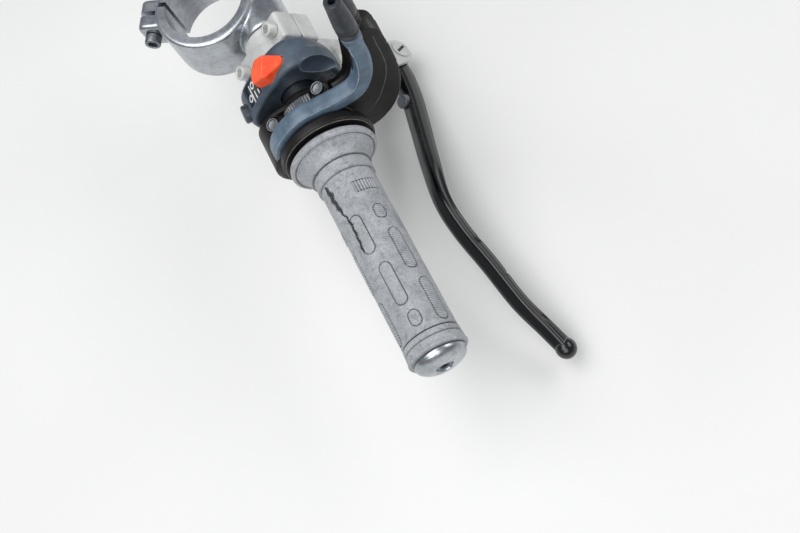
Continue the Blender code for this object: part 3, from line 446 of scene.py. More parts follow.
def finish(name, sockets, base, layers, rough, bumps):
    """A Principled material: a base colour under layers of (pattern, colour, share), a roughness
    that a pattern spreads from low to high, and bumps of (pattern, millimetres, strength)."""
    material = bpy.data.materials.new(name)
    material.use_nodes = True
    tree = material.node_tree
    shader = tree.nodes["Principled BSDF"]
    for key, value in sockets.items():
        shader.inputs[key].default_value = value
    place = add(tree, "ShaderNodeTexCoord", out="Object")
    values, below = {6: linear(base)}, {}
    for pattern, over, share in layers:
        factor = add(tree, "ShaderNodeMapRange", {"To Max": share}, {"Value": pattern(tree, place)})
        colour = add(tree, "ShaderNodeMix", {**values, 7: linear(over)}, {"Factor": factor, **below},
                     out=2, data_type="RGBA")
        values, below = {}, {6: colour}
    tree.links.new(colour, shader.inputs["Base Color"])
    pattern, low, high = rough
    spread = add(tree, "ShaderNodeMapRange", {"To Min": low, "To Max": high},
                 {"Value": pattern(tree, place)})
    tree.links.new(spread, shader.inputs["Roughness"])
    below = {}
    for pattern, depth, strength in bumps:
        normal = add(tree, "ShaderNodeBump", {"Strength": strength, "Distance": depth * MM},
                     {**below, "Height": pattern(tree, place)})
        below = {"Normal": normal}
    tree.links.new(normal, shader.inputs["Normal"])
    return material


PEEL = blotches(0.5, 2, 0.2, 0.8)       # the fine skin of moulded and coated surfaces

# Cast aluminium, polished by hand and wiped for years: a soft mirror with fine scratches round it
ALLOY = finish("polished_cast_aluminium", {"Metallic": 1.0}, "A3A7AD",
               [(blotches(14, 5), "BEC2C7", 1.0), (blotches(3, 6, 0.5, 0.75), "82868C", 0.6)],
               (blotches(10, 5), 0.24, 0.38), [(blotches(0.5, 3, 0.3, 0.7, (0.08, 1, 1)), 0.015, 0.5)])

# The same cast aluminium under a satin lacquer: pale, slightly warm, grimy in its pores
CASTING = finish("lacquered_die_cast_aluminium",
                 {"Metallic": 0.3, "Coat Weight": 0.2, "Coat Roughness": 0.3}, "D2D4D1",
                 [(blotches(9, 6, 0.4, 0.75), "B3B6B3", 0.8), (edge_wear_and_highlight(0.5, 0.9, 0.99, 2), "E4E5E2", 0.4)],
                 (blotches(6, 5), 0.40, 0.56), [(blotches(0.8, 2, 0.2, 0.8), 0.03, 0.5)])

# Steel, turned and plated with bright zinc: silver gone dull in blotches, bright on its edges
ZINC = finish("dulled_zinc_plated_steel", {"Metallic": 1.0}, "8B8F94",
              [(blotches(1.6, 5), "62666A", 0.8), (edge_wear_and_highlight(0.25, 0.9, 0.99, 1.5), "E4E5E6", 0.9)],
              (blotches(2.0, 4), 0.38, 0.52), [(blotches(0.35, 2, 0.2, 0.8), 0.03, 0.6)])

# Cold-drawn steel tube: grey, with die lines along its length
STEEL = finish("cold_drawn_steel", {"Metallic": 1.0}, "86898D",
               [(blotches(0.4, 3, 0.3, 0.7, (0.02, 1, 1)), "A2A5A9", 1.0)],
               (blotches(6, 4), 0.26, 0.4), [(blotches(0.4, 3, 0.3, 0.7, (0.02, 1, 1)), 0.01, 0.6)])

# Glass-filled nylon from a spark-eroded mould: warm satin black, a little dusty, rubbed on edges
HOUSING = finish("satin_black_nylon", {"IOR": 1.5, "Specular IOR Level": 0.35}, "0C0A09",
                 [(blotches(30, 2), "13100F", 1.0), (blotches(12, 6, 0.5, 0.8), "201D1C", 0.6),
                  (edge_wear_and_highlight(0.4, 0.9, 0.99, 4), "4E4C4C", 0.3)],
                 (blotches(14, 6), 0.36, 0.52), [(PEEL, 0.02, 0.5)])

# The same nylon with the coarser grain of the switch pod: its colour painted paler and cooler all over as sky
# reflection, its edges painted pale as highlights
POD_PAINTED_SHEEN = finish("grained_black_nylon_painted_sheen", {"IOR": 1.5, "Specular IOR Level": 0.6}, "394551",
             [(blotches(14, 6, 0.45, 0.8), "5B6A79", 0.7), (edge_wear_and_highlight(0.6, 0.9, 0.99, 4), "A2ADB8", 0.6)],
             (blotches(12, 6), 0.36, 0.48), [(PEEL, 0.03, 0.6)])

# Nylon tube, formed hot and smooth: black with a satin shine, its colour painted pale blue-grey as sky
# reflection, and its edges, the outer ridge most of all, painted bright as highlights
ELBOW_PAINTED_SHEEN = finish("smooth_black_nylon_painted_sheen", {"IOR": 1.5, "Specular IOR Level": 0.7}, "475868",
               [(blotches(9, 5), "5E7387", 1.0), (edge_wear_and_highlight(0.6, 0.9, 0.985, 6), "DCE5EC", 0.95)],
               (blotches(7, 5), 0.32, 0.42), [(PEEL, 0.015, 0.5)])

# Flash on the housing's parting line, where the black nylon is rubbed brown
FLASH = finish("rubbed_nylon_flash", {"IOR": 1.5}, "4A4440", [(blotches(5, 4), "6A625C", 1.0)],
               (blotches(3, 3), 0.4, 0.5), [(PEEL, 0.01, 0.5)])

# Natural rubber filled with carbon, weathered for years: chalky grey, its grooves darker the deeper they are,
# with dirt and painted shade
RUBBER = finish("weathered_grip_rubber", {"IOR": 1.5, "Sheen Weight": 0.1, "Sheen Roughness": 0.5}, "94979B",
                [(blotches(11, 6, 0.35, 0.7), "B4B7BB", 1.0), (blotches(1.1, 5, 0.4, 0.65), "797C80", 0.55),
                 (blotches(3.5, 6, 0.52, 0.7), "616467", 0.55), (relief_between(0.15, 0.4), "C0C3C6", 0.45),
                 # dirt and painted shade: the deeper the relief, the darker
                 (relief_between(-0.10, -0.38), "1F2124", 0.95)],
                (blotches(11, 6), 0.62, 0.82), [(blotches(0.9, 4, 0.3, 0.7), 0.10, 0.7), (PEEL, 0.05, 0.6)])

# Soft moulded rubber, black with a bluish bloom
BOOT = finish("moulded_boot_rubber", {"IOR": 1.5}, "1B1F24", [(blotches(7, 5, 0.4, 0.75), "39414A", 1.0)],
              (blotches(6, 4), 0.36, 0.52), [(blotches(0.6, 2, 0.2, 0.8), 0.04, 0.5)])

# Forged aluminium under a gloss black stove coat: a wet shine, with pale edges painted as highlights
LEVER_BLACK_PAINTED_HIGHLIGHTS = finish("gloss_black_stove_coat", {"IOR": 1.5, "Specular IOR Level": 0.45, "Coat Weight": 0.3,
                                                "Coat Roughness": 0.05}, "050607",
                     [(blotches(14, 4), "090A0C", 1.0), (edge_wear_and_highlight(0.7, 0.86, 0.985, 5), "CBD0D4", 0.85)],
                     (blotches(12, 5), 0.14, 0.24), [(blotches(2.5, 2, 0.2, 0.8), 0.02, 0.3)])

# Acetal, moulded in orange-red: even, with pale edges painted as highlights along its ridge and rims
RED_PAINTED_HIGHLIGHTS = finish("orange_red_acetal_painted_highlights", {"IOR": 1.48}, "F5481F",
             [(blotches(8, 3), "FF6A38", 1.0), (edge_wear_and_highlight(0.6, 0.9, 0.99, 3), "FFC4A4", 0.8)],
             (blotches(3, 4), 0.34, 0.5), [(PEEL, 0.015, 0.5)])

# Acetal, moulded in dark slate: satin, rubbed where a thumb lies
SLATE = finish("slate_acetal", {"IOR": 1.48}, "2C3238", [(blotches(4, 4), "454D56", 1.0)],
               (blotches(4, 4), 0.24, 0.38), [(PEEL, 0.015, 0.5)])

# Acetal plate and its screen-printed marks, the ink slightly worn
PANEL = finish("black_switch_plate", {"IOR": 1.48}, "121519", [(blotches(1.5, 5), "1B2027", 1.0)],
               (blotches(1.5, 5), 0.3, 0.45), [(PEEL, 0.01, 0.5)])
INK = finish("white_plate_ink", {"IOR": 1.48}, "E9EAEB", [(blotches(1.5, 5), "CFD1D3", 1.0)],
             (blotches(1.5, 5), 0.3, 0.45), [(PEEL, 0.01, 0.5)])


# Twist grip

def pad_field(x, angle, centre, half_length, half_width):
    """How far each point lies outside a rounded oval pad, in millimetres and below 0 inside."""
    along = x - centre[0]
    round_by = wrapped(angle - centre[1] * DEG) * GRIP_R
    return np.hypot(np.maximum(np.abs(along) - (half_length - half_width), 0), round_by) - half_width


def make_grip():
    """The rubber grip: a profile turned round the bar, with pads outlined by fine grooves. Its radius
    is the profile's, plus the pads' rise and ribs, minus exp(-(distance / width)^2) at each outline
    and along the crack."""
    lip = [(20, -2.0), (25.3, -2.0), (26.2, -1.5), (26.5, -0.4), (26.5, 0.7), (26.1, 1.5), (25.2, 2.05),
           (24.6, 2.1), (24.35, 1.5), (24.1, 1.5), (23.85, 2.2), (23.3, 2.6), (22.9, 2.65)]
    t = np.linspace(0.12, 1, 18)
    bell = np.stack((18.4 + 5.4 * (1 - t) ** 2.1, 2.4 + 7.3 * t), axis=1)
    neck = [(18.75, 10.1), (18.6, 10.8), (17.2, 11.05), (16.95, 11.4), (17.3, 11.9), (17.35, 17.9),
            (17.15, 18.5), (16.2, 18.8), (16.0, 19.1), (16.25, 19.6)]
    head = smooth_path(np.concatenate((lip, bell, neck)), 200)
    body_x = np.concatenate((np.linspace(20, 43, 66), np.linspace(43.3, 122.6, 250)))
    body = np.stack((np.full(len(body_x), GRIP_R), body_x), axis=1)
    tail = rounded([(GRIP_R, 122.8), (GRIP_R, 123.3), (15.6, 123.6), (15.6, 124.1), (16.5, 124.4),
                    (16.6, 127.2), (16.0, 127.5), (16.0, 128.0), (16.7, 128.3), (16.9, 131.2),
                    (17.4, 133.0), (16.7, 134.0), (13.15, 134.0)], 0.8, 6)
    inner = np.array([(13.15, 133.5), (13.15, -2.0), (20, -2.0)])
    profile = np.concatenate((head, body, tail, inner))
    columns = 300
    angle = np.linspace(0, FULL, columns, endpoint=False)[None]
    x, base = profile[:, 1:], profile[:, :1]
    relief = np.zeros((len(profile), columns))
    ribbed_pads = ((50, 4.6, 3.3), (75, 13.3, 3.6), (108, 13.3, 3.6))
    plain_pads = ((58.5, 12.3, 3.6), (92.2, 13.3, 3.6), (115, 4.6, 3.3))
    for column, turn in enumerate((46, 102, 165, 217, 277, 341)):
        pads, rib = (plain_pads, 0.12) if column % 2 else (ribbed_pads, 0.34)
        for place, half_length, half_width in pads:
            centre = (place, turn - 0.26 * (place - 80))
            off = pad_field(x, angle, centre, half_length, half_width)
            # One side of each outline is cut deeper, so the finish paints it darker: painted shade.
            shade = 0.75 + 0.25 * np.cos(angle - centre[1] * DEG + 0.9)
            relief -= 0.5 * shade * np.exp(-(off / 0.42) ** 2)
            inside = 1 / (1 + np.exp(off / 0.25))
            slant = x - centre[0] + GRIP_R * (angle - centre[1] * DEG) * 0.35
            relief += inside * (0.10 + rib * np.sin(slant * FULL / 1.5))
    patch = np.maximum(np.abs(x - 31.2) - 3.4, np.abs(wrapped(angle - 52 * DEG) * GRIP_R) - 7.5)
    relief -= 0.40 * np.exp(-(patch / 0.35) ** 2)
    relief += 0.32 * np.sin(angle * GRIP_R * FULL / 1.8) / (1 + np.exp(patch / 0.2))
    crack_x = (19, 22, 27, 31, 35, 39, 44, 50, 58, 64, 70)
    crack_turn = (136, 134, 130, 131, 128, 126.5, 121, 117.6, 119, 121.5, 125)
    way = np.interp(x, crack_x, crack_turn) + 1.3 * np.sin(x * 1.1) + 0.7 * np.sin(x * 3.7 + 1)
    off = wrapped(angle - way * DEG) * GRIP_R
    width = np.interp(x, (19, 23, 28, 33, 36, 42, 50, 62, 70), (0.3, 1.3, 1.8, 1.1, 1.4, 0.5, 0.6, 0.7, 0.2))
    inside = np.clip((x - 19) / 2, 0, 1) * np.clip((70 - x) / 4, 0, 1)
    relief -= 0.9 * inside * np.exp(-(off / (width + 0.25 * np.sin(x * 5.3))) ** 2)
    relief *= (x > 19.4) & (x < 122.7) & (base > GRIP_R - 0.3)
    radius = base + relief
    shell = np.stack((radius * np.cos(angle), radius * np.sin(angle), x + 0 * angle), axis=2)
    grooves = 0.55 * np.exp(-((base - 24.2) / 0.22) ** 2) * (x < 3)
    for place, depth, width in ((11.25, 0.42, 0.35), (18.95, 0.34, 0.25), (123.8, 0.5, 0.35),
                                (127.75, 0.36, 0.3)):
        grooves = grooves + depth * np.exp(-((x - place) / width) ** 2)
    relief = relief - grooves * (base > 15)
    piece("twist_grip", [put(shell, at(OUTWARDS, (0, 0, FLANGE_X)))], RUBBER, "throttle", "grip_rubber",
          "grip", relief=relief)


def make_bar_end():
    """The domed bar end: a low dome with a fine rim, turned, and the well of its screw."""
    base, crown = GRIP_END_X + 0.5, GRIP_END_X + 8
    a = np.linspace(0, math.pi / 2, 26)
    dome = np.stack((15 * np.cos(a), base + 0.9 + 6.6 * np.sin(a)), axis=1)
    dome = dome[dome[:, 0] > 5.6]
    foot = rounded([(0, base - 16), (8.3, base - 16), (8.3, base), (14.6, base), (15, base + 0.5),
                    (15, base + 0.9)], 0.4)
    well = rounded([(5.3, crown - 1.0), (4.8, crown - 1.6), (4.8, crown - 4.5), (0, crown - 4.5)], 0.3)
    piece("bar_end_dome", [put(turned(np.concatenate((foot, dome, well)), 128), OUTWARDS)], ALLOY,
          "handlebar", "polished_alloy", "bar_end_cap", sharp=30)


def socket_head(head_r, height, socket_r, depth, shank_r, length):
    """A cap screw: a plain round head with a hexagonal socket."""
    flats = hexagon(socket_r)
    edge = 0.14 * height
    return turned([(0, -length), (shank_r, -length), (shank_r, 0.3), (head_r - 0.2, 0.3), (head_r, 0.5),
                   (head_r, height - edge), (head_r - edge * 0.3, height - edge * 0.3),
                   (head_r - edge, height), (flats + 0.35, height), (flats, height - 0.35),
                   (flats, height - depth), (0, height - depth - 0.3)])


def make_screws():
    """Screws: pinch, bar end, clamp cap, and the plain dished heads of the housing's screws."""
    pinch = at(BEHIND, (10.5, PINCH_Y, 0), (1, 0, 0), (0, 1, 0))
    piece("pinch_screw", [put(socket_head(5, 6, 2.75, 3.6, 3, 21), pinch)], ZINC, "handlebar",
          "zinc_screw", "fork_pinch_screw", sharp=30)
    seat = at(OUTWARDS, (0, 0, GRIP_END_X + 3.5))
    piece("bar_end_bolt", [put(socket_head(4.5, 3, 2.45, 1.8, 2.5, 11), seat)], ZINC, "handlebar",
          "zinc_screw", "bar_end_screw", sharp=30)
    for seat, place in zip(CAP_SEATS, ("lower", "upper")):
        piece(f"cap_screw_{place}", [put(socket_head(4.5, 6, 2.45, 3.6, 2.5, 22), seat)], CASTING,
              "handlebar", "zinc_screw", f"clamp_screw_{place}", sharp=30)
    head = turned(rounded([(0, -23), (2, -23), (2, 0.3), (4.25, 0.3), (4.25, 1.3), (4.0, 1.5), (4.0, 4.2),
                           (3.85, 4.5), (3.2, 4.5), (3.05, 3.3), (0, 3.1)], 0.2, 4), 64)
    x, y = HOUSING_SCREW
    for side, place in ((1, "front"), (-1, "rear")):
        piece(f"dished_screw_{place}", [put(head, at(SPLIT, (x, side * y, 14)))], ZINC, "handlebar",
              "zinc_screw", f"housing_screw_{place}", sharp=30)


# Throttle housing

def elbow_line():
    """The elbow's centre line in the bar's frame: from inside the housing's back round the drum,
    then up ahead of the bar."""
    turn = (182 - 107 * np.linspace(0, 1, 7)) * DEG
    radius = np.array((24.6, 25.4, 25.8, 25.8, 25.8, 25.8, 25.8))
    arc = np.stack((0 * turn + 112, radius * np.cos(turn), radius * np.sin(turn)), axis=1)
    rise = [(112, 42 * ahead, 70 * height)
            for ahead, height in ((0.68, 0.35), (0.90, 0.49), (0.99, 0.69), (1, 0.88), (1, 1))]
    return np.concatenate((arc, rise))


def make_housing():
    """The throttle housing: disc, drum and neck turned about the bar, the belly with its horn as one
    rounded slab ahead of it, its inner side shifted out by 6.5 / (1 + exp((14 - z) / 4)) mm to slim
    the horn, a swelling behind and two screw bosses, melted to one moulding and parted along its
    split. A fine bead and rib of flash lie on it."""
    x0, x1 = HOUSING_X
    core = turned(rounded([(0, x0), (15, x0), (15, 104), (21, 105), (21.5, 111), (26.5, 117.5),
                           (28.5, 119.5), (28.5, x1), (0, x1)], (0, 1, 1, 1.2, 3, 3, 1, 1.1, 0)), 160)
    side_view = [(50.5, 61.5), (53.8, 57), (55.0, 48), (55.4, 38), (55.4, 28), (54.7, 17), (52.6, 6),
                 (48.8, -4), (43, -12.5), (34.5, -18.5), (25, -20), (14, -17.5), (4, -14.5), (-8, -10),
                 (-12, 0), (-8, 10), (2, 14.2), (13, 15), (22, 16.6), (29.5, 20), (33.5, 27), (36, 36),
                 (38.2, 47), (40, 56), (43, 61.3), (46.5, 62.8), (50.5, 61.5)]
    front = slab(smooth_path(side_view, 200)[:-1], 90, 110.5, 3.4, 8, centre=(34, 10))
    slim = 6.5 / (1 + np.exp((14 - front[:, :, 2]) / 4))
    front[:, :, 0] += slim * np.clip((110.5 - front[:, :, 0]) / 20.5, 0, 1)
    back = slab(belt((-15, -6), 18.5, (0, 0), 14, 60), x0, 120, 2.5, 6)
    x, y = HOUSING_SCREW
    screws = [at(SPLIT, (x, side * y, 0)) for side in (-1, 1)]
    shells = [put(core, OUTWARDS), put(front, BAR), put(back, BAR),
              *(put(rod(5.5, -14, 14, edge=0.8), screw) for screw in screws),
              put(rod(5.5, 0, 12, edge=0.6), at(BAR, (99, 46, 52)))]
    bore = turned([(0, x0 - 2), (SEAT_R, x0 - 2), (SEAT_R, 109.5), (13.35, 109.5), (13.35, x1 + 2),
                   (0, x1 + 2)], 128)
    a = 39 * DEG * np.linspace(1, -1, 40) + math.pi / 2
    sector = np.concatenate([r * np.stack((np.cos(b), np.sin(b)), axis=1)
                             for r, b in ((15.1, a), (32, a[::-1]))])
    seat = slab(sector, 93.6, 102.4, 0.05, 1, centre=(0, 22))
    cuts = [put(bore, OUTWARDS), put(seat, SPLIT), *(put(rod(5.25, 14, 30, 64), screw) for screw in screws)]
    moulded("throttle_housing", shells, cuts, HOUSING, "handlebar", "black_plastic",
            "throttle_housing_lower", "throttle_housing_upper", grain=0.55, passes=8, parting=SPLIT)
    seam = smooth_path([(110.4, y, z) for y, z in ((52.0, 56), (51.9, 47), (52.0, 38), (51.2, 26),
                                                   (47.5, 14.5), (42.2, 5), (38.3, -0.5), (30.3, -7))], 120)
    rib = carried(seam, 0.32, 0.32, (1, 0, 0), 2.0, 12)
    bead = turned([(27.3 + 0.3 * math.cos(a), x1 + 0.05 + 0.3 * math.sin(a))
                   for a in np.linspace(0, FULL, 13)], 160)
    piece("housing_seam", [put(rib, BAR), put(bead, OUTWARDS)], FLASH, "handlebar", "black_plastic")


def make_strip():
    """The saddle strip over the neck: an arc with teeth across it, whose outer radius is a triangle
    wave of the angle, carried along the bar."""
    angle = math.pi / 2 + 36 * DEG * np.linspace(1, -1, 193)
    outer = 16.9 - 0.36 * np.abs((np.linspace(0, 12, 193) % 1) * 2 - 1)
    top = np.stack((outer * np.cos(angle), outer * np.sin(angle)), axis=1)
    below = 15.3 * np.stack((np.cos(angle[::-1]), np.sin(angle[::-1])), axis=1)
    shell = slab(np.concatenate((below, top))[::-1], 94, 102, 0.15, 2, centre=(0, 15.8))
    piece("saddle_strip", [put(shell, SPLIT)], ZINC, "handlebar", "zinc_screw", "housing_strip", sharp=25)


def make_elbow():
    """The cable elbow: a squarish section carried along its line, with a ridge along its outer
    corner, a round collar at its end and the rubber boots above."""
    line = smooth_path(elbow_line(), 240)
    run = np.concatenate(([0], np.cumsum(np.linalg.norm(np.diff(line, axis=0), axis=1))))
    left = run[-1] - run
    angle = np.linspace(0, FULL, 144, endpoint=False)[None]
    # The finish paints a bright highlight along this ridge.
    ridge = 0.07 * np.exp(-(wrapped(angle - 45 * DEG) / 0.09) ** 2)
    sleeve = 1 / (1 + np.exp((left - 5) / 0.25))
    radius = 4.8 + 0.9 * sleeve - 0.9 * np.exp(-(left / 0.4) ** 2)
    tube = carried(line, radius, radius + 0.6 * (1 - sleeve), (1, 0, 0), 4.4 - 2.4 * sleeve, 144,
                   1 + ridge * (1 - sleeve)[:, None])
    piece("cable_elbow_tube", [put(tube, BAR)], ELBOW_PAINTED_SHEEN, "handlebar", "black_plastic", "cable_elbow",
          sharp=60)
    boot = turned(rounded([(0, 0), (4.9, 0), (4.9, 0.9), (6, 1.2), (6, 3.0), (5.1, 3.4), (5.1, 4.2),
                           (6, 4.7), (5.9, 10.5), (4.55, 29.6), (4.1, 30), (2.2, 30), (2, 29.6),
                           (2, 10.5), (0, 10.5)], 0.4))
    x, y, top = line[-1]
    for name, where, node in (("elbow_cable_boot", (x, y, top + 0.6), "elbow_boot"),
                              ("horn_cable_boot", (99, 46, 64.3), "horn_boot")):
        piece(name, [put(boot, at(BAR, where))], BOOT, "handlebar", "boot_rubber", node)


# Switch pod

def pod_radius(angle):
    """The pod's radius round the bar: a circle that swells to a hood on top and behind the bar."""
    radius = np.full(np.shape(angle), 28.5)
    for place, rise, spread in ((72, 7, 30), (172, 4, 25)):
        radius = radius + rise * np.exp(-(wrapped(angle - place * DEG) / (spread * DEG)) ** 2)
    return radius


def pod_spot(angle, offset):
    """A frame on the pod's skin, round and along it from its middle: x along the bar, z outwards."""
    turn = angle * DEG
    reach_r = float(pod_radius(turn))
    origin, axes = bar_frame(turn - math.pi / 2, sum(POD_X) / 2 + offset)
    return origin + axes @ np.array((0, 0, reach_r)), axes


def make_pod():
    """The switch pod: rows of its outline moved inwards, from the bore over the inner face, round a
    wide edge, along the skin and over the rim into a dished outer face, with a beak that a scoop
    hollows. Kill switch, label and starter button stand in pits."""
    x0, x1 = POD_X
    radius = pod_radius(np.linspace(0, FULL, 240, endpoint=False))
    a = np.linspace(0, math.pi / 2, 9)
    edge = np.stack((x0 + 5.5 * (1 - np.cos(a)), 6.5 * (1 - np.sin(a))), axis=1)
    rim = [(x1 - 5, 0), (x1 - 2.4, 0.1), (x1 - 1.1, 0.7), (x1 - 0.3, 1.8), (x1, 3.2), (x1 - 0.3, 4.3),
           (x1 - 1.4, 5.4), (x1 - 3.4, 7.5), (x1 - 4.8, 10.5), (x1 - 5.4, 13)]
    skin = [(radius - inset, x) for x, inset in ((x0, 9), *edge, *rim)]
    body = turned([(SEAT_R, x0), *skin, (SEAT_R, x1 - 5.6), (SEAT_R, x0)], 240)
    side_view = smooth_path([(8, 27), (10, 31), (15, 31.5), (19.5, 29), (24.3, 24), (28, 16.8), (26.8, 14.2),
                             (22, 14.4), (17, 16.4), (12, 20.8), (8, 27)], 80)[:-1]
    beak = slab(side_view[::-1], 74, 87.8, 1.8, 6)
    a = np.linspace(-math.pi / 2, math.pi / 2, 24)
    scoop = turned(np.stack((np.cos(a), np.sin(a)), axis=1), 64)[:, :, [2, 0, 1]] * (5.5, 13.0, 10.0)
    lean = bar_frame(-42 * DEG)
    middle = lean[1].T @ np.array((88.2, 19.5, 25.4))
    knob = spun(pod_spot(104, 2.5), -30 * DEG)
    label, button = pod_spot(140.5, 0.5), pod_spot(168, 4)
    plan = corner_loop([(-7.2, -8.6), (0.6, -11.4), (7.6, -8.6), (6.9, 0), (6.6, 2.2), (-2.6, 10.2),
                        (-7, 9.8), (-7.1, 0)], (2, 2, 2, 0.5, 2, 2, 2, 0.5), 9)
    pit = np.stack([raised(share * plan, z) for share, z in ((0, -5.1), (1.04, -5), (1.04, 9), (0, 9.1))])
    cuts = [put(turned([(0, -5.2), (5.8, -5), (5.8, 4), (0, 4.2)], 64), button), put(pit, knob),
            put(rod(SEAT_R, x0 - 2, x1 + 6), OUTWARDS), put(scoop, at(lean, middle)),
            put(slab(oblong(-7.4, -2.4, 7.4, 2, 0.5), -7.4, 7.4, 0.1, 2), label)]
    moulded("switch_pod", [put(body, OUTWARDS), put(beak, BAR)], cuts, POD_PAINTED_SHEEN, "handlebar", "black_plastic",
            "switch_pod_lower", "switch_pod_upper", passes=7, parting=SPLIT)

    piece("kill_switch_paddle", [put(paddle(plan), knob)], RED_PAINTED_HIGHLIGHTS, "handlebar", "kill_red", "kill_switch",
          sharp=30)
    cap = rounded([(0, -4.7), (5.5, -4.7), (5.5, 2.3), (4.6, 3.0), (0, 2.7)], 0.7, 6)
    piece("starter_cap", [put(turned(cap, 72), button)], SLATE, "handlebar", "button_grey",
          "starter_button")
    plate = slab(oblong(-7.1, -2.3, 7.1, -1, 0.15), -7.1, 7.1, 0.3, 3)
    piece("switch_panel", [put(plate, label)], PANEL, "handlebar", "label_black", "switch_label", sharp=30)
    ring = turned([(2.3, -1.02), (2.3, -0.9), (1.35, -0.9), (1.35, -1.02), (2.3, -1.02)], 48)
    marks = [put(ring, at(label, (1, -5.0, 0))), put(ring, at(label, (-3, 1.8, 0)))]
    for x, y, length in ((0.3, -2.0, 12.6), (3.6, 1.6, 5.4), (4.6, 5.6, 3.2)):
        bar = slab(oblong(-0.5, -0.06, 0.5, 0.06), -length / 2, length / 2, 0.02, 1)
        marks.append(put(bar, at(label, (x, y, -0.96))))
    piece("panel_marks", marks, INK, "handlebar", "label_black", sharp=30)


def raised(plan, height):
    """A plan's points at one height, or at a height for each."""
    return np.column_stack((plan, np.broadcast_to(height, len(plan))))


def paddle(plan):
    """The kill switch: rows of its plan from the foot up, over a rounded edge to a roof that falls
    evenly from its ridge, at y = 0, to both sides."""
    foot, crown, side, half, edge = -4.7, 7.5, 2.2, 11.0, 1.2

    def roof(inner):
        return side + (crown - side) * np.clip(1 - np.abs(inner[:, 1]) / half, 0, 1)

    size = np.abs(plan).max()
    rows = [raised(0 * plan, foot), raised(plan, foot)]
    for a in np.linspace(0, math.pi / 2, 6):
        inner = plan * (1 - edge * (1 - math.cos(a)) / size)
        rows.append(raised(inner, roof(inner) - edge * (1 - math.sin(a))))
    rows += [raised(plan * share, roof(plan * share)) for share in np.linspace(0.8, 0, 14)]
    return np.stack(rows)


# Master cylinder

def make_master():
    """The master cylinder: clamp block, web, turned barrel with its port boss, and the perch that
    carries the lever, melted to one casting and then bored and slotted, and its clamp's cap."""
    block = slab(oblong(0.3, -24.5, 13, 24.5, (0.6, 3, 3, 0.6)), *CLAMP_X, 1.2, 5)
    web = slab(oblong(9, -8, 60, 8, 2), *CLAMP_X, 2.0, 5)
    forward = at(LEVER, (PUSH_X, 0, 0), (0, 1, 0))
    barrel = rod(12.5, *CYLINDER_Y, 128, (0, 2.2, 0.8, 0))
    perch = slab(belt((58.5, PUSH_X), 11.5, PIVOT[::-1], 9.5, 60), -10, 10, 1.4, 6)[:, :, [2, 1, 0]]
    boss = rod(7, -13.5, 13.5, 72, 0.8)
    shells = [put(block, LEVER), put(web, LEVER), put(barrel, forward), put(perch, LEVER),
              put(boss, at(LEVER, (PUSH_X, 50, 0)))]
    bore = put(rod(SEAT_R, 36, 60), OUTWARDS)
    slot = slab(oblong(71, -6.5, 112, 6.5), 27, 81, 0.01, 1)
    holes = [put(rod(2.8, -22.5, 2, 48), seat) for seat in CAP_SEATS]
    cuts = [bore, put(slot, LEVER), put(rod(4.3, -13, 13, 64), LEVER_EYE), put(rod(3.5, 45, 73, 64), forward)]
    moulded("master_body", shells, cuts + holes, CASTING, "handlebar", "cast_alloy", "master_cylinder")
    ring = rod(17.4, *CLAMP_X, 128, 1.2)
    lugs = slab(oblong(-13, -24.5, -0.3, 24.5, (3, 0.6, 0.6, 3)), *CLAMP_X, 1.2, 5)
    half = slab(oblong(-0.3, -40, 40, 40), 36, 60, 0.01, 1)
    moulded("clamp_cap", [put(ring, OUTWARDS), put(lugs, LEVER)], [bore, put(half, LEVER), *holes],
            CASTING, "handlebar", "cast_alloy", "master_clamp_cap", grain=0.45)


def make_fittings():
    """The cylinder's small turned parts: hose port, banjo bolt, gaiter, the pivot with a slot across
    its head, and the nut."""
    port = rounded([(0, 0), (6, 0), (6, 9), (3.1, 9), (3.1, 11), (3.5, 12), (3.0, 14.5), (3.5, 15.5),
                    (3.0, 18), (3.4, 19), (2.6, 21), (0, 21)], 0.4)
    piece("reservoir_barb", [put(turned(port, 72), at(LEVER, (PUSH_X, 50, 13.8)))], BOOT, "handlebar",
          "boot_rubber", "reservoir_port")
    flats = hexagon(6.05, 72)
    banjo = turned([(0, 0), (7, 0), (7, 1.2), (6.2, 1.3), (flats, 1.4), (flats, 8.2),
                    (np.minimum(flats, 6.4), 9.0), (0, 9.0)], 72)
    piece("hose_bolt", [put(banjo, at(LEVER, (PUSH_X, 50, -13.8), (0, 0, -1)))], ZINC, "handlebar",
          "zinc_screw", "banjo_bolt", sharp=25)
    mouth = at(LEVER, (PUSH_X, CYLINDER_Y[1] + 0.3, 0), (0, 1, 0))
    gaiter = rounded([(3.5, 0), (6, 0), (6, 0.8), (5.1, 1.2), (5.6, 1.8), (4.8, 2.3), (5.2, 2.8),
                      (4.9, 3.5), (3.5, 3.5), (3.5, 0)], 0.25)
    piece("piston_gaiter", [put(turned(gaiter, 64), mouth)], BOOT, "handlebar", "boot_rubber",
          "cylinder_gaiter")
    pin = turned(rounded([(0, -15.3), (4, -15.3), (4, 10.3), (6.5, 10.3), (6.5, 11.2), (0, 11.4)], 0.4))
    across = spun(LEVER_EYE, 35 * DEG)
    obj = blank("pivot_pin", [put(pin, LEVER_EYE)])
    cut_by(obj, [put(slab(oblong(-5.4, 10.2, 5.4, 13, 1), -1, 1, 0.1, 2), across)])
    dress(obj, CASTING, "handlebar", ["pivot_bolt"], 40)
    # A black sheet at the floor of the pivot's slot: painted shade.
    slot_shade = slab(oblong(-5.3, 9.9, 5.3, 10.35, 0.15), -0.95, 0.95, 0.1, 2)
    piece("pivot_slot", [put(slot_shade, across)], BOOT, "handlebar", "boot_rubber")
    nut = turned([(4.3, -10.3), (4.3, -15.3), (5.2, -15.3), (np.minimum(flats, 6.1) * 0.95, -15.3),
                  (flats * 0.93, -14.7), (flats * 0.93, -10.3), (4.3, -10.3)], 72)
    piece("lever_nut", [put(nut, LEVER_EYE)], ZINC, "handlebar", "zinc_screw", "pivot_nut", sharp=25)


# Fork clamp

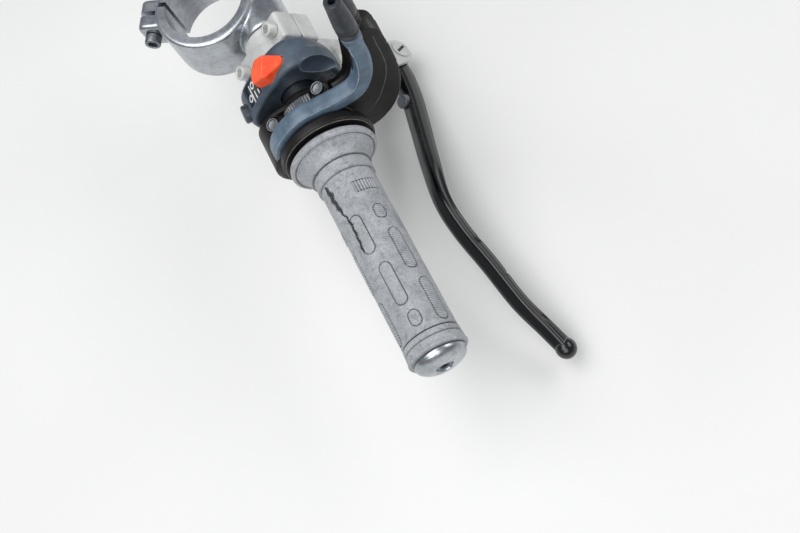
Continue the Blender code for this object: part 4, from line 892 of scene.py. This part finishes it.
def make_fork_clamp():
    """The clip-on clamp: a ring round the fork tube, a boss for the bar and two pinch ears behind,
    melted to one casting, then bored and slit."""
    boss = rod(17, 0, FORK_BOSS_END, 128, 1.6, 6)
    ears = slab(oblong(-47, -10, -27, 10, (5, 0.5, 0.5, 5)), -10.5, 10.5, 1.5, 6)
    slit = slab(oblong(-50, -20, -12, 20), -1.5, 1.5, 0.01, 1)
    pinch = at(BEHIND, (0, PINCH_Y, 0), (1, 0, 0), (0, 1, 0))
    cuts = [rod(25, -20, 20, 160), put(slit, BEHIND), put(rod(SEAT_R, 26.7, 40), OUTWARDS),
            put(rod(3.3, -13, 13, 48), pinch)]
    moulded("clip_on_clamp", [rod(32, -18, 18, 192, 2.2, 6), put(boss, OUTWARDS), put(ears, BEHIND)], cuts,
            ALLOY, "handlebar", "polished_alloy", "fork_clamp", grain=0.65, passes=10)


# Brake lever

def make_lever():
    """The brake lever: a squarish section carried along the blade's line, thinner towards its tip,
    with a ridge along its upper inner corner, a groove along its upper side after the knee, a notch
    across it and a ball at its end."""
    shares = np.array(((0, 0, 1, 0.95), (0.05, -0.01, 1, 0.95), (0.15, 0.12, 0.95, 0.95),
                       (0.27, 0.41, 0.88, 0.95), (0.39, 0.715, 0.78, 0.95), (0.515, 0.97, 0.66, 0.92),
                       (0.615, 0.93, 0.63, 0.92), (0.73, 0.68, 0.62, 0.92), (0.85, 0.455, 0.58, 0.9),
                       (0.935, 0.135, 0.64, 0.85), (1, -0.11, 0.74, 0.8)))
    stations = smooth_path(shares * (226, -28, 13, 12), 320)
    path = np.stack((stations[:, 0], stations[:, 1], 0 * stations[:, 0]), axis=1)
    run = np.concatenate(([0], np.cumsum(np.linalg.norm(np.diff(path, axis=0), axis=1))))[:, None]
    share = run / run[-1]
    columns = 96
    angle = np.linspace(0, FULL, columns, endpoint=False)[None]
    off = wrapped(angle - 90 * DEG)
    on = np.clip((share - 0.40) / 0.06, 0, 1) * np.clip((0.93 - share) / 0.03, 0, 1)
    groove = 0.17 * on * np.exp(-(off / 0.26) ** 2)
    on = np.clip((share - 0.03) / 0.04, 0, 1) * np.clip((0.5 - share) / 0.1, 0, 1)
    ridge = 0.08 * on * (np.exp(-((off - 0.75) / 0.14) ** 2) + np.exp(-((off + 0.75) / 0.14) ** 2))
    pit = 0.22 * np.exp(-((run - run[-1] * 0.655) / 1.6) ** 2 - (off / 0.45) ** 2)
    notch = 0.10 * np.exp(-((run - run[-1] * 0.765) / 0.9) ** 2) * (np.sin(angle) > -0.2)
    blade = carried(path, stations[:, 2] / 2, stations[:, 3] / 2, (0, 0, 1), 3.2, columns,
                    1 + ridge - groove - pit - notch)
    eye = turned(rounded([(4.3, -6), (9, -6), (9, 6), (4.3, 6), (4.3, -6)], 0.8))
    a = np.linspace(-math.pi / 2, math.pi / 2, 28)
    ball = turned(np.stack((6.5 * np.cos(a), 6.2 * np.sin(a)), axis=1), 64)
    pad = rod(4.5, -6, 10.5, 48, 0.6)
    piece("lever_blade", [put(blade, LEVER_EYE), put(eye, LEVER_EYE), put(ball, at(LEVER_EYE, path[-1])),
                          put(pad, at(LEVER_EYE, (10, 0, 0), (0, -1, 0)))],
          LEVER_BLACK_PAINTED_HIGHLIGHTS, "lever", "lever_black", "brake_lever", sharp=45)
    wheel = rod(4.5, 0, 7, 144, 0.5)
    a = np.linspace(0, FULL, 144, endpoint=False)
    wheel[:, :, :2] *= (1 - 0.04 * (np.cos(a * 24) > 0))[None, :, None]
    piece("span_wheel", [put(wheel, at(LEVER_EYE, (37, -6.5, 0), (0, -1, 0)))], ZINC, "lever",
          "zinc_screw", "span_adjuster", sharp=30)


make_grip()
make_bar_end()
make_screws()
make_housing()
make_strip()
make_elbow()
make_pod()
make_master()
make_fittings()
make_fork_clamp()
make_lever()

for node, look in (("bar_tube", STEEL), ("throttle_tube", POD_PAINTED_SHEEN), ("push_rod", STEEL)):
    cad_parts[node].data.materials.clear()
    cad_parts[node].data.materials.append(look)


# Studio

def make_studio():
    """A pale floor under the object, a pale world that lights less than it shows, and three soft
    lamps."""
    size, height = 3.0, cad_box[0][2] - 0.004
    corners = [(x * size, y * size, height) for x, y in ((-1, -1), (1, -1), (1, 1), (-1, 1))]
    mesh = bpy.data.meshes.new("studio_floor")
    mesh.from_pydata(corners, [], [(0, 1, 2, 3)])
    floor = bpy.data.objects.new("studio_floor", mesh)
    bpy.context.scene.collection.objects.link(floor)
    mesh.materials.append(finish("painted_studio_floor", {"IOR": 1.5}, "E0E0DE",
                                 [(blotches(400, 2), "E8E8E6", 1.0)], (blotches(400, 2), 0.7, 0.8),
                                 [(blotches(3, 2, 0.2, 0.8), 0.05, 0.2)]))

    world = bpy.data.worlds.new("studio")
    world.use_nodes = True
    tree = world.node_tree
    dim = tree.nodes["Background"]
    dim.inputs["Color"].default_value = linear("EEF2F8")
    dim.inputs["Strength"].default_value = 0.34
    seen = add(tree, "ShaderNodeBackground", {"Color": linear("E9EBED")})
    eye = add(tree, "ShaderNodeLightPath", out="Is Camera Ray")
    both = add(tree, "ShaderNodeMixShader", links={0: eye, 1: dim.outputs["Background"], 2: seen})
    tree.links.new(both, tree.nodes["World Output"].inputs["Surface"])
    bpy.context.scene.world = world
    aim = Vector((0.13, 0.0, 0.0))
    for name, place, size, power in (("key", (0.05, -0.35, 1.2), (1.3, 1.0), 12),
                                     ("fill", (0.9, -0.2, 0.8), (0.8, 0.8), 5),
                                     ("back", (0.1, 1.0, 0.7), (0.9, 0.5), 4)):
        lamp = bpy.data.lights.new(name, "AREA")
        lamp.shape = "RECTANGLE"
        lamp.size, lamp.size_y = size
        lamp.energy = power
        obj = bpy.data.objects.new(name, lamp)
        obj.location = place
        obj.rotation_euler = (aim - obj.location).to_track_quat("-Z", "Y").to_euler()
        bpy.context.scene.collection.objects.link(obj)


def make_camera():
    """A 50 mm lens at the photograph's angle, above and outboard of the grip."""
    camera = bpy.data.objects.new("camera", bpy.data.cameras.new("camera"))
    camera.data.lens = 50
    camera.data.sensor_width = 36
    turn = Matrix(((0.43136, -0.80344, 0.41037), (0.86745, 0.49435, 0.05605),
                   (-0.24790, 0.33180, 0.91020)))
    camera.matrix_world = Matrix.Translation((0.4542, 0.0614, 0.5442)) @ turn.to_4x4()
    bpy.context.scene.collection.objects.link(camera)
    bpy.context.scene.camera = camera


make_studio()
make_camera()
bpy.context.scene.view_settings.view_transform = "Standard"
